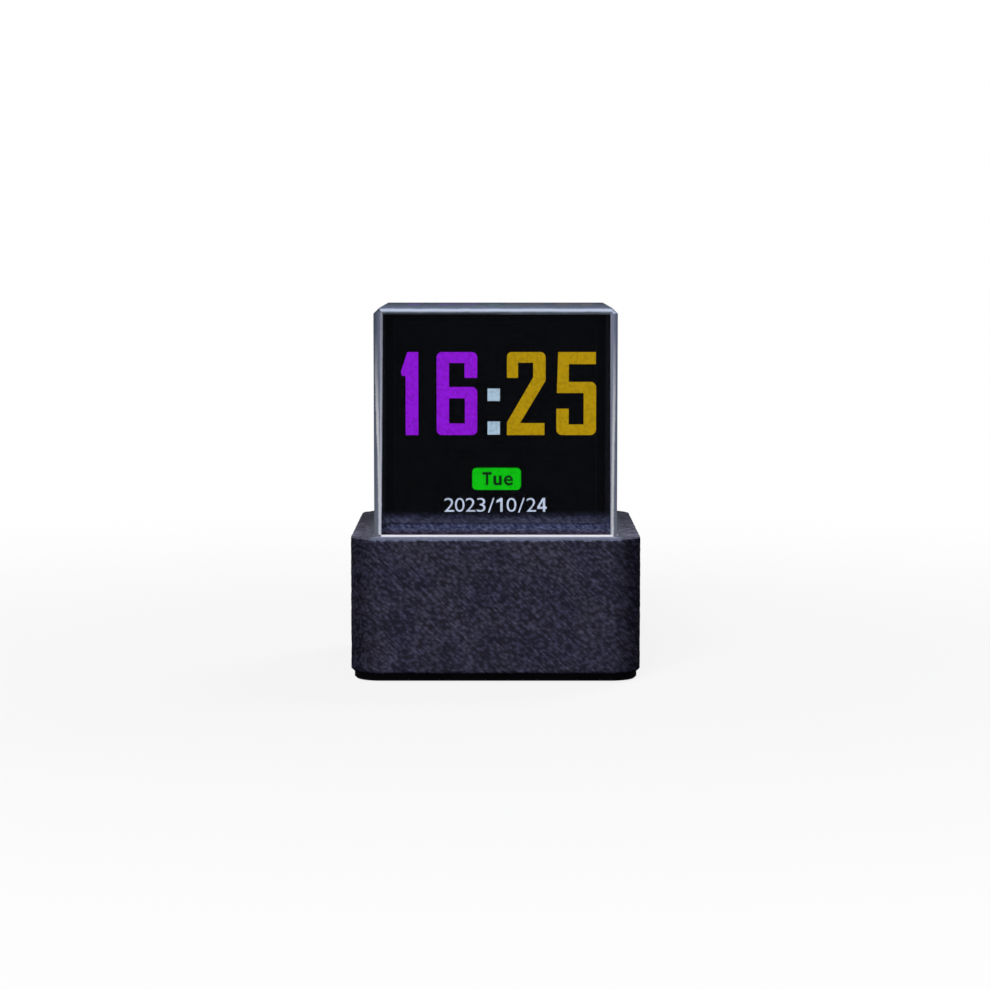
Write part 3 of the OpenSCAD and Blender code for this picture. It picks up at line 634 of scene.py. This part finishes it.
def addGleam(s, tint, across, x, z):
    # painted highlight: a bright line that runs inwards towards the foot, nearer to the edge on the right
    def sideways(left, right):
        return zone(x, s["halves"], left, right)

    def offFrom(middle):
        return mathNode("ABSOLUTE", mathNode("SUBTRACT", across, middle))

    # painted light: low down, the bevels are paler towards their outer edge
    low = times(zone(z, s["lowFade"], s["lowShare"], 0), across)
    tint = tintMix(low, tint, s["lowOuter"])
    drift = times(sideways(*s["gleamDrift"]), zone(z, s["gleamClimb"]))
    off = times(offFrom(mathNode("ADD", drift, s["gleamStart"])), sideways(*s["gleamNarrow"]))
    line = spread(off, s["gleamLine"], 1, 0, smooth=True)
    tint = tintMix(times(line, zone(z, s["gleamFade"])), tint, s["gleam"])
    # painted shade: the left bevels are darker, with one painted highlight, a steady line along the front
    # edge
    dull = mathNode("MAXIMUM", zone(z, s["leftFade"], *s["leftLevel"]), sideways(0, 1))
    tint = vectorNode("SCALE", tint, dull)
    steady = spread(offFrom(s["lineAt"]), s["lineWide"], 1, 0, smooth=True)
    steady = times(steady, zone(z, s["lineFade"], *s["lineLevel"]), sideways(1, 0))
    return tintMix(steady, tint, s["leftLine"])


# fine-ground bevel: slate outwards, its tones across painted reflections and highlights, lacquered black at
# the rear
def makeGroundGlass(name, s, stops, gleam):
    mat, tree, skin = newMaterial(name)
    x, y, z = axesOf(objectSpot(tree))
    grain = useGroup(tree, grainGroup, Scale=s["scale"])
    wobble = times(mathNode("SUBTRACT", grain["Tone"], 0.5), s["wobble"])
    across = spread(mathNode("ADD", zone(y, s["across"]), wobble), (0, 1))
    # painted reflections and highlights across the bevel
    tint = rampNode(across, stops)
    if gleam:
        tint = addGleam(s, tint, across, x, z)
    under = times(zone(y, s["underBack"]), zone(z, s["underLow"]))
    rear = mathNode("MAXIMUM", zone(y, s["rear"]), under)
    # painted light: the lowest rear bevel stands in the seat and is painted with the tones of the lit seat
    # wall seen through the glass
    tone = useGroup(tree, leatherGroup, Bump=s["bump"])["Tone"]
    foot, heel, band = (tintMix(tone, *s[key]) for key in ("foot", "heel", "band"))
    lowest = tintMix(zone(z, s["heelFade"]), foot, heel)
    rising = mathNode("POWER", zone(z, s["bandFade"]), s["bandLean"])
    behind = tintMix(rising, s["black"], band)
    behind = tintMix(zone(z, s["sunk"]), behind, lowest)
    fill(skin, {
        "Base Color": tintMix(rear, tint, behind), "Specular IOR Level": s["shine"],
        "Roughness": spread(grain["Tone"], (0, 1), *s["gloss"]),
        "Normal": bumpNode(grain["Height"], *s["relief"]),
    })
    return mat


glassMaterials = (
    makePolishedGlass(glass),
    makeGroundGlass("ground bevel", groundLook, groundLook["sideStops"], True),
    makeGroundGlass("ground top bevel", groundLook, groundLook["topStops"], False),
)
glassBlock = newPiece("glass_block", glassMesh(glass), glassMaterials)
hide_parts("front_prism", "rear_prism")
print("glass cube:", len(glassBlock.data.polygons), "faces")

# the picture, as it stands upright in the cube, in millimetres across and up
picture = dict(
    ground=(-15.25, 19.2, 15.25, 48.25), groundCorner=0.2,
    badge=(-3.24, 23.18, 3.53, 26.26), badgeCorner=0.62, letterSize=10,
    groundDeep=(15.93, 15.97), signDeep=(15.9, 15.94), wordDeep=(15.88, 15.91),
    hourColour=(0.32, 0.009, 0.8), minuteColour=(0.53, 0.33, 0.001), colonColour=(0.475, 0.645, 0.8),
    badgeColour=(0.003, 0.64, 0.003), wordColour=(0.0025, 0.028, 0.004), dateColour=(0.66, 0.76, 0.98),
    weekday="Tue", wordSpans=((-1.84, -0.52), (-0.32, 0.86), (1.16, 2.42)),
    wordRises=((23.84, 25.68), (23.8, 25.2), (23.8, 25.22)), wordWeights=(0.34, 0.32, 0.16),
    date="2023/10/24", dateSpans=(
        (-7.14, -5.78), (-5.66, -4.33), (-4.17, -2.83), (-2.62, -1.41), (-1.07, -0.16),
        (0.13, 0.98), (1.54, 2.89), (3.13, 4.06), (4.31, 5.64), (5.81, 7.11),
    ), dateRise=(20.13, 22.05), slashRise=(20.02, 22.05), dateWeight=-0.07,
    lyingLevel=15.83, mirrorLevel=33, lyingThick=0.5, glow=1, lyingGlow=0.5, dim=0.6,
    off=(0.002, 0.002, 0.003), offRough=0.6, blackRough=0.8, bandFade=(20.6, 19.1), bandBump=2350,
    black=((0.0012, 0.0014, 0.0018), (0.0024, 0.0028, 0.0036)),
)
# outlines of the big figures: each corner is x, z and, where it is round, a radius
figures = {
    "one": [
        (-12.24, 42.38), (-10.72, 42.38), (-10.72, 30.84), (-12.5, 30.84), (-12.5, 39.07),
        (-13.05, 39.07, 0.2), (-13.13, 39.66, 0.1),
    ],
    "six": [
        (-8.19, 42.38, 0.75), (-2.55, 42.38, 0.75), (-2.55, 38.79), (-4.31, 38.79), (-4.31, 40.86),
        (-6.46, 40.86), (-6.46, 37.53), (-2.55, 37.53, 0.75), (-2.55, 30.84, 0.75), (-8.19, 30.84, 0.75),
    ],
    "sixEye": [(-6.46, 35.96), (-4.27, 35.96), (-4.27, 32.46), (-6.46, 32.46)],
    "two": [
        (1.58, 42.38, 0.65), (6.94, 42.38, 0.75), (6.94, 38.42, 0.5), (3.41, 32.51), (6.79, 32.51),
        (6.79, 30.84), (1.58, 30.84), (1.58, 32.6), (5.22, 38.87), (5.22, 40.9),
        (3.12, 40.9), (3.12, 38.79), (1.58, 38.79),
    ],
    "five": [
        (8.68, 42.38), (13.91, 42.38), (13.91, 40.7), (10.18, 40.7), (10.16, 38.24),
        (13.96, 38.24, 0.8), (13.96, 30.84, 0.8), (8.45, 30.84, 0.8), (8.45, 34.51), (10.16, 34.51),
        (10.16, 32.32), (12.23, 32.32), (12.23, 36.69), (8.51, 36.69),
    ],
    "upperDot": [(-1.12, 37.31), (0.61, 37.31), (0.61, 35.58), (-1.12, 35.58)],
    "lowerDot": [(-1.12, 32.73), (0.61, 32.73), (0.61, 30.9), (-1.12, 30.9)],
}
# a one with its flag and an open four for the date, each in its own unit box
drawnFigures = {
    "1": [[(0.66, 1), (1, 1), (1, 0), (0.62, 0), (0.62, 0.76), (0, 0.64), (0, 0.82)]],
    "4": [
        [
            (0.56, 1), (0.85, 1), (0.85, 0.37), (1, 0.37), (1, 0.21), (0.85, 0.21), (0.85, 0),
            (0.6, 0), (0.6, 0.21), (0, 0.21), (0, 0.36),
        ],
        [(0.6, 0.37), (0.25, 0.37), (0.6, 0.8)],
    ],
}


def boxOutline(box, corner):
    x0, z0, x1, z1 = box
    return [(x0, z1, corner), (x1, z1, corner), (x1, z0, corner), (x0, z0, corner)]


def softOutline(corners, steps=7):
    outline = []
    count = len(corners)
    for i, (x, z, *rounding) in enumerate(corners):
        spot = Vector((x, z))
        if not rounding:
            outline.append(spot)
            continue
        radius = rounding[0]
        toLast = (Vector(corners[i - 1][:2]) - spot).normalized()
        toNext = (Vector(corners[(i + 1) % count][:2]) - spot).normalized()
        half = toLast.angle(toNext) / 2
        run = radius / math.tan(half)
        middle = spot + (toLast + toNext).normalized() * radius / math.sin(half)
        first, last = spot + toLast * run - middle, spot + toNext * run - middle
        sweep = first.angle_signed(last)
        outline += [middle + Matrix.Rotation(-sweep * k / steps, 2) @ first for k in range(steps + 1)]
    return outline


def standUp(name, curve, deep, box=None):
    # the curve becomes a mesh of some thickness, and only then takes its place and depth
    curve.extrude = 0.5
    obj = bpy.data.objects.new(name, curve)
    scene.collection.objects.link(obj)
    mesh = frozenMesh(obj)
    bpy.data.objects.remove(obj)
    bpy.data.curves.remove(curve)
    xs = [v.co.x for v in mesh.vertices]
    ys = [v.co.y for v in mesh.vertices]
    x0, z0, x1, z1 = box or (min(xs), min(ys), max(xs), max(ys))
    for v in mesh.vertices:
        x = between(x0, x1, (v.co.x - min(xs)) / (max(xs) - min(xs)))
        z = between(z0, z1, (v.co.y - min(ys)) / (max(ys) - min(ys)))
        y = deep[0] if v.co.z > 0 else deep[1]
        v.co = (x * mm, y * mm, z * mm)
    mesh.name = name
    mesh.materials.clear()
    closeMesh(mesh, 1e-7)
    return mesh


def plateMesh(name, outlines, deep):
    curve = bpy.data.curves.new(name, "CURVE")
    curve.dimensions = "2D"
    curve.fill_mode = "BOTH"
    for outline in outlines:
        spline = curve.splines.new("POLY")
        spline.points.add(len(outline) - 1)
        for point, (x, z) in zip(spline.points, outline):
            point.co = (x, z, 0, 1)
        spline.use_cyclic_u = True
    return standUp(name, curve, deep)


def letterMesh(name, letter, box, deep, weight):
    curve = bpy.data.curves.new(name, "FONT")
    curve.body = letter
    curve.size = picture["letterSize"]
    curve.offset = weight
    return standUp(name, curve, deep, box)


def glyphRow(name, letters, spans, rises, weights, deep):
    row = bmesh.new()
    for i, (letter, (x0, x1), (z0, z1)) in enumerate(zip(letters, spans, rises)):
        if letter in drawnFigures:
            lines = drawnFigures[letter]
            placed = [[(between(x0, x1, u), between(z0, z1, v)) for u, v in line] for line in lines]
            mesh = plateMesh(name + str(i), placed, deep)
        else:
            mesh = letterMesh(name + str(i), letter, (x0, z0, x1, z1), deep, weights[i])
        row.from_mesh(mesh)
        bpy.data.meshes.remove(mesh)
    return meshFrom(name, row)


def makeLight(name, colour, strength, s):
    mat, tree, skin = newMaterial(name)
    lit = tintMix(useGroup(tree, rasterGroup)[0], tuple(c * s["dim"] for c in colour), colour)
    fill(skin, {
        "Emission Color": lit, "Emission Strength": strength, "Base Color": s["off"],
        "Roughness": s["offRough"], "Specular IOR Level": 0,
    })
    return mat


def makePictureBlack(s, look):
    mat, tree, skin = newMaterial("picture black")
    dark = tintMix(useGroup(tree, rasterGroup)[0], *s["black"])
    # painted light: low down it fades into the band, the painted tones of the lit seat wall that shows at
    # the foot of the glass
    z = axesOf(objectSpot(tree))[2]
    low = mathNode("POWER", zone(z, s["bandFade"]), look["bandLean"])
    tone = useGroup(tree, leatherGroup, Bump=s["bandBump"])["Tone"]
    tint = tintMix(low, dark, tintMix(tone, *look["band"]))
    fill(skin, {"Base Color": tint, "Roughness": s["blackRough"], "Specular IOR Level": 0})
    return mat


groundOutline = softOutline(boxOutline(picture["ground"], picture["groundCorner"]))
groundMesh = plateMesh("picture_ground", [groundOutline], picture["groundDeep"])
ground = newPiece("picture_ground", groundMesh, [makePictureBlack(picture, groundLook)])
figures["badge"] = boxOutline(picture["badge"], picture["badgeCorner"])
signs = {
    "hour_digits": ("hourColour", ("one", "six", "sixEye")),
    "minute_digits": ("minuteColour", ("two", "five")),
    "time_colon": ("colonColour", ("upperDot", "lowerDot")),
    "weekday_badge": ("badgeColour", ("badge",)),
}
shown = []
for name, (colour, keys) in signs.items():
    mesh = plateMesh(name, [softOutline(figures[key]) for key in keys], picture["signDeep"])
    shown.append((name, mesh, picture[colour]))
wordRow = glyphRow(
    "weekday_word", picture["weekday"], picture["wordSpans"], picture["wordRises"],
    picture["wordWeights"], picture["wordDeep"],
)
shown.append(("weekday_word", wordRow, picture["wordColour"]))
dateRises = [picture["slashRise" if letter == "/" else "dateRise"] for letter in picture["date"]]
dateRow = glyphRow(
    "date_line", picture["date"], picture["dateSpans"], dateRises,
    [picture["dateWeight"]] * len(dateRises), picture["signDeep"],
)
shown.append(("date_line", dateRow, picture["dateColour"]))
for name, mesh, colour in shown:
    light = makeLight(name.replace("_", " "), colour, picture["glow"], picture)
    sign = newPiece(name, mesh, [light])

# the same picture on the display that lies in the base, turned over by the half mirror
lying = bmesh.new()
lyingMaterials = []
for index, (name, mesh, colour) in enumerate(shown):
    light = makeLight("lying " + name.replace("_", " "), colour, picture["lyingGlow"], picture)
    lyingMaterials.append(light)
    before = len(lying.faces)
    lying.from_mesh(mesh)
    lying.faces.ensure_lookup_table()
    for face in lying.faces[before:]:
        face.material_index = index
for v in lying.verts:
    x, y, z = v.co
    lift = (picture["signDeep"][1] * mm - y) * picture["lyingThick"]
    v.co = (x, picture["mirrorLevel"] * mm - z, picture["lyingLevel"] * mm + lift)
bmesh.ops.recalc_face_normals(lying, faces=lying.faces)
displayPicture = newPiece("display_picture", meshFrom("display_picture", lying), lyingMaterials)
print("picture:", len(shown), "signs")

# seal round the cube's foot, with painted light: bright only where the front edge of the glass would light
# it, and dimmer at its front corners
bead = dict(
    glass=16, gap=16.25, gapCorner=0.5, low=18.5, ledge=19, rise=0.23, toe=0.3, corner=0.75,
    steps=(40, 6), sharp=50, profile=((0, 1), (0.35, 0.96), (0.7, 0.72), (0.92, 0.36), (1, 0.02)),
    slate=((0.026, 0.028, 0.058), (0.095, 0.104, 0.192)), pale=((0.88, 0.86, 0.96), (1, 0.99, 1)),
    paintedCornerLight=(0.14, 0.14, 0.18), cornerFade=(-15, -15.4), ahead=(-15.9, -15.98),
    leftEnd=(-15.15, -14.95), rightEnd=(15.55, 15.4), scale=1800, contrast=0.8,
    bump=2200, gloss=(0.4, 0.6), shine=0.2, relief=(0.3, 0.02),
)


def beadMesh(s):
    # the profile runs from the glass outwards, as shares of the toe and the rise
    rows = [roundRing(s["glass"], s["corner"], s["low"], s["steps"])]
    for side, up in s["profile"]:
        level = s["ledge"] + s["rise"] * up
        rows.append(roundRing(s["glass"] + s["toe"] * side, s["corner"], level, s["steps"]))
    rows.append(roundRing(s["gap"], s["gapCorner"], s["low"], s["steps"]))
    mesh = loftRings("seal_fillet", rows)
    smoothMesh(mesh, s["sharp"])
    return mesh


def makeSealFinish(s):
    mat, tree, skin = newMaterial("seal silicone")
    x, y = axesOf(objectSpot(tree))[:2]
    grain = useGroup(tree, grainGroup, Scale=s["scale"], Contrast=s["contrast"])
    tone = useGroup(tree, leatherGroup, Bump=s["bump"])["Tone"]
    # painted light: the front corners are paler than the slate
    rest = tintMix(zone(y, s["cornerFade"]), tintMix(tone, *s["slate"]), s["paintedCornerLight"])
    # painted highlight: a pale line along the front edge of the glass
    bright = times(zone(y, s["ahead"]), zone(x, s["leftEnd"]), zone(x, s["rightEnd"]))
    fill(skin, {
        "Base Color": tintMix(bright, rest, tintMix(grain["Tone"], *s["pale"])),
        "Roughness": spread(grain["Tone"], (0, 1), *s["gloss"]), "Specular IOR Level": s["shine"],
        "Normal": bumpNode(grain["Height"], *s["relief"]),
    })
    return mat


sealFillet = newPiece("seal_fillet", beadMesh(bead), [makeSealFinish(bead)])
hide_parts("seal_bead")

# what the finishes of plain pieces share, where they don't say otherwise
plain = dict(
    scale=4200, stretch=(1, 1, 1), contrast=1, gloss=(0.4, 0.6), bump=0.3, depth=0.01, metal=0,
    shine=0.5, coat=0, alpha=1, markScale=140, grainShare=0.4, worn=(0.1, 0.8),
)
# finishes for the pieces that keep their solid's own mesh
finishes = {
    # painted shadow: the cover is near black, standing in for the shade in the gap under the shell
    "cover": dict(
        nodes=["bottom_cover"], tint=((0.0003, 0.0003, 0.0007), (0.0008, 0.0008, 0.0016)),
        scale=3600, gloss=(0.8, 0.95), bump=0.5, depth=0.03, shine=0.04,
    ),
    "pad rubber": dict(
        nodes=["foot_pad"], tint=((0.01, 0.01, 0.011), (0.024, 0.024, 0.026)),
        scale=2600, contrast=1.3, gloss=(0.75, 0.95), bump=0.6, depth=0.05, shine=0.3,
    ),
    "blackened steel": dict(
        nodes=["cover_screws"], tint=((0.05, 0.05, 0.055), (0.12, 0.12, 0.13)),
        scale=5200, gloss=(0.28, 0.5), bump=0.2, metal=1,
    ),
    "half mirror": dict(
        nodes=["splitter_film"], tint=((0.74, 0.76, 0.82), (0.86, 0.85, 0.88)),
        scale=260, gloss=(0.008, 0.02), bump=0, metal=1, alpha=0.04,
    ),
    "backing lacquer": dict(
        nodes=["backing_film"], tint=((0.003, 0.003, 0.004), (0.009, 0.009, 0.011)),
        scale=1400, stretch=(1, 1, 0.12), gloss=(0.3, 0.48), bump=0.25, shine=0.35,
    ),
    "foam tape": dict(
        nodes=["prism_tape", "display_tape"], tint=((0.006, 0.006, 0.007), (0.018, 0.018, 0.02)),
        contrast=1.4, gloss=(0.7, 0.9), bump=0.6, depth=0.03, shine=0.2,
    ),
    "polariser": dict(
        nodes=["polariser"], tint=((0.003, 0.003, 0.005), (0.007, 0.008, 0.011)),
        scale=900, gloss=(0.3, 0.5), bump=0.05, depth=0.005, shine=0.1,
    ),
    "display glass": dict(
        nodes=["filter_glass", "array_glass"], tint=((0.03, 0.036, 0.04), (0.06, 0.07, 0.075)),
        scale=700, gloss=(0.05, 0.16), bump=0.05, depth=0.005, coat=0.4,
    ),
    "chip black": dict(
        nodes=["driver_chip", "regulator", "lamp_transistor", "switch_body"],
        tint=((0.008, 0.008, 0.009), (0.022, 0.022, 0.024)), scale=5200, bump=0.4, depth=0.015,
    ),
    "frame white": dict(
        nodes=["backlight_frame"], tint=((0.62, 0.62, 0.6), (0.8, 0.8, 0.78)),
        scale=2600, gloss=(0.35, 0.5), bump=0.2,
    ),
    "diffuser": dict(
        nodes=["diffuser_sheet"], tint=((0.74, 0.74, 0.74), (0.86, 0.86, 0.85)),
        scale=3800, gloss=(0.6, 0.8), bump=0.2,
    ),
    "guide acrylic": dict(
        nodes=["light_guide"], tint=((0.7, 0.74, 0.76), (0.82, 0.85, 0.86)),
        scale=3000, contrast=1.5, gloss=(0.1, 0.25), coat=0.3,
    ),
    "lamp phosphor": dict(
        nodes=["backlight_lamps"], tint=((0.72, 0.56, 0.1), (0.86, 0.74, 0.24)),
        gloss=(0.3, 0.5), bump=0.2,
    ),
    "reflector foil": dict(
        nodes=["reflector_sheet"], tint=((0.78, 0.79, 0.8), (0.9, 0.9, 0.91)),
        scale=800, stretch=(1, 0.1, 1), gloss=(0.12, 0.3), bump=0.1, metal=1,
    ),
    "flex film": dict(
        nodes=["display_flex"], tint=((0.3, 0.12, 0.015), (0.52, 0.24, 0.04)), scale=1100,
        stretch=(3, 0.12, 0.12), contrast=1.6, gloss=(0.22, 0.4), bump=0.2, coat=0.3,
    ),
    "board mask": dict(
        nodes=["main_board"], tint=((0.004, 0.055, 0.02), (0.012, 0.115, 0.045)),
        scale=1300, contrast=1.6, gloss=(0.2, 0.38), depth=0.015, coat=0.3,
    ),
    "radio mask": dict(
        nodes=["radio_board"], tint=((0.004, 0.018, 0.075), (0.012, 0.045, 0.15)),
        scale=1300, contrast=1.6, gloss=(0.2, 0.38), depth=0.015, coat=0.3,
    ),
    "can steel": dict(
        nodes=["shield_can"], tint=((0.46, 0.46, 0.45), (0.66, 0.66, 0.64)),
        scale=900, stretch=(0.08, 1, 1), gloss=(0.24, 0.42), bump=0.15, metal=1,
    ),
    "capacitor clay": dict(nodes=["chip_capacitors"], tint=((0.34, 0.22, 0.12), (0.48, 0.34, 0.2))),
    "resistor clay": dict(
        nodes=["chip_resistors"], tint=((0.012, 0.012, 0.014), (0.04, 0.04, 0.044)),
        gloss=(0.3, 0.5),
    ),
    "inlet steel": dict(
        nodes=["usb_shell"], tint=((0.44, 0.44, 0.44), (0.64, 0.64, 0.63)), scale=1500,
        stretch=(1, 0.06, 1), gloss=(0.2, 0.36), bump=0.15, depth=0.008, metal=1,
    ),
    "tongue plastic": dict(
        nodes=["usb_tongue"], tint=((0.006, 0.006, 0.007), (0.016, 0.016, 0.018)), scale=3800,
    ),
    "contact gold": dict(
        nodes=["usb_contacts"], tint=((0.58, 0.38, 0.12), (0.8, 0.58, 0.24)), scale=2200,
        stretch=(1, 0.1, 1), gloss=(0.18, 0.34), bump=0.1, depth=0.005, metal=1,
    ),
    "plunger plastic": dict(
        nodes=["switch_plunger"], tint=((0.4, 0.4, 0.38), (0.56, 0.56, 0.53)), scale=3600,
    ),
    "button plastic": dict(
        nodes=["mode_button"], tint=((0.012, 0.012, 0.018), (0.028, 0.028, 0.038)),
        scale=3400, gloss=(0.36, 0.55), bump=0.4, depth=0.02,
    ),
}


# a tint that follows the grain, a gloss that follows grain and smudges, and a fine relief
def makeFinish(name, s):
    mat, tree, skin = newMaterial(name)
    grain = useGroup(tree, grainGroup, Scale=s["scale"], Stretch=s["stretch"], Contrast=s["contrast"])
    marks = useGroup(tree, smudgeGroup, Scale=s["markScale"])
    worn = weighted((grain["Tone"], s["grainShare"]), (marks[0], 1 - s["grainShare"]))
    fill(skin, {
        "Base Color": tintMix(grain["Tone"], *s["tint"]),
        "Roughness": spread(worn, s["worn"], *s["gloss"]),
        "Normal": bumpNode(grain["Height"], s["bump"], s["depth"]),
        "Metallic": s["metal"], "Alpha": s["alpha"],
        "Specular IOR Level": s["shine"], "Coat Weight": s["coat"],
    })
    return mat


for name, own in finishes.items():
    finish = makeFinish(name, {**plain, **own})
    for node in own["nodes"]:
        slots = cadNodes[node].data.materials
        slots.clear()
        slots.append(finish)
print("finishes:", len(finishes))

# pale floor and soft studio light, in metres and watts
studio = dict(
    floorSize=6, floorCells=4, floorTint=(0.86, 0.86, 0.87), floorDip=0.98, bounceTint=(0.1, 0.1, 0.11),
    floorScale=40, floorContrast=0.2, floorRough=0.9,
    white=(0.84, 0.995), whiteFade=(0.03, 0.22), duskFade=(-0.04, -0.16), pureWhite=(1, 1, 1),
    frontMirror=(0.03, 0.033, 0.042), lowHorizon=(0.045, 0.05, 0.065), horizon=(0.145, 0.175, 0.25),
    upper=(0.85, 0.87, 0.92), behind=(-0.25, 0.55), raised=(0.03, 0.45), skyline=(0.0225, 0.025),
    ambient=(0.62, 0.63, 0.68), sideAmbient=(0.065, 0.065, 0.075), front=(0.34, 0.94, 0),
    sideways=(-0.85, -0.25), through=(0.5, 0.85), target=(0, 0, 0.025),
    lamps=[
        ("key", (-0.22, -0.89, 0.55), 0.55, 6.7, (1, 0.99, 0.98)),
        ("fill", (0.85, -0.55, 0.35), 0.6, 0.2, (0.95, 0.97, 1)),
        ("rear", (0.45, 0.6, 0.6), 0.5, 3.2, (0.97, 0.98, 1)),
    ],
)


def makeFloor(s):
    mat, tree, skin = newMaterial("pale floor")
    grain = useGroup(tree, grainGroup, Scale=s["floorScale"], Contrast=s["floorContrast"])
    tint = s["floorTint"]
    pale = tintMix(grain["Tone"], tuple(s["floorDip"] * c for c in tint), tint)
    path = addNode(tree, "ShaderNodeLightPath").outputs
    pale = tintMix(path["Is Diffuse Ray"], pale, s["bounceTint"])
    fill(skin, {"Base Color": pale, "Roughness": s["floorRough"], "Specular IOR Level": 0})
    # the shade stays close to the object, and the floor runs out into white
    where = objectSpot(tree)
    white = spread(vectorNode("LENGTH", where), s["whiteFade"], *s["white"], smooth=True)
    seen = times(mathNode("MAXIMUM", path["Is Camera Ray"], path["Is Transmission Ray"]), white)
    dusk = times(path["Is Glossy Ray"], spread(axesOf(where)[1], s["duskFade"]))
    shown = tintMix(dusk, s["pureWhite"], s["frontMirror"])
    glow = addNode(tree, "ShaderNodeEmission", {"Color": shown})
    mixShaders(mathNode("MAXIMUM", seen, path["Is Glossy Ray"]), skin, glow)
    return mat


# the background is white to the eye and through glass, and gloss sees it behind the object
def makeWorld(s):
    world = bpy.data.worlds.new("studio")
    tree = emptyTree(world)
    way = addNode(tree, "ShaderNodeTexCoord").outputs["Generated"]
    y, z = axesOf(way)[1:]
    path = addNode(tree, "ShaderNodeLightPath").outputs
    gloss = tintMix(spread(z, s["skyline"]), s["lowHorizon"], s["horizon"])
    gloss = tintMix(spread(z, s["raised"], smooth=True), gloss, s["upper"])
    gloss = tintMix(spread(y, s["behind"], smooth=True), s["frontMirror"], gloss)
    turned = vectorNode("DOT_PRODUCT", way, s["front"])
    ambient = tintMix(spread(turned, s["sideways"], smooth=True), s["ambient"], s["sideAmbient"])
    base = tintMix(path["Is Glossy Ray"], ambient, gloss)
    level = spread(z, s["through"], 1, 0, smooth=True)
    seen = mathNode("MAXIMUM", path["Is Camera Ray"], times(path["Is Transmission Ray"], level))
    sky = addNode(tree, "ShaderNodeBackground", {"Color": tintMix(seen, base, s["pureWhite"])})
    addNode(tree, "ShaderNodeOutputWorld", {0: sky.outputs[0]})
    return world


bm = bmesh.new()
cells = studio["floorCells"]
bmesh.ops.create_grid(bm, x_segments=cells, y_segments=cells, size=studio["floorSize"] / 2)
floor = newPiece("floor", meshFrom("floor", bm), [makeFloor(studio)], None)
scene.world = makeWorld(studio)
for name, spot, size, power, tint in studio["lamps"]:
    lampData = bpy.data.lights.new(name, "AREA")
    lampData.shape = "DISK"
    lampData.size = size
    lampData.energy = power
    lampData.color = tint
    lamp = bpy.data.objects.new(name, lampData)
    lamp.location = spot
    lamp.rotation_euler = (Vector(studio["target"]) - Vector(spot)).to_track_quat("-Z", "Y").to_euler()
    scene.collection.objects.link(lamp)
print("studio ready")
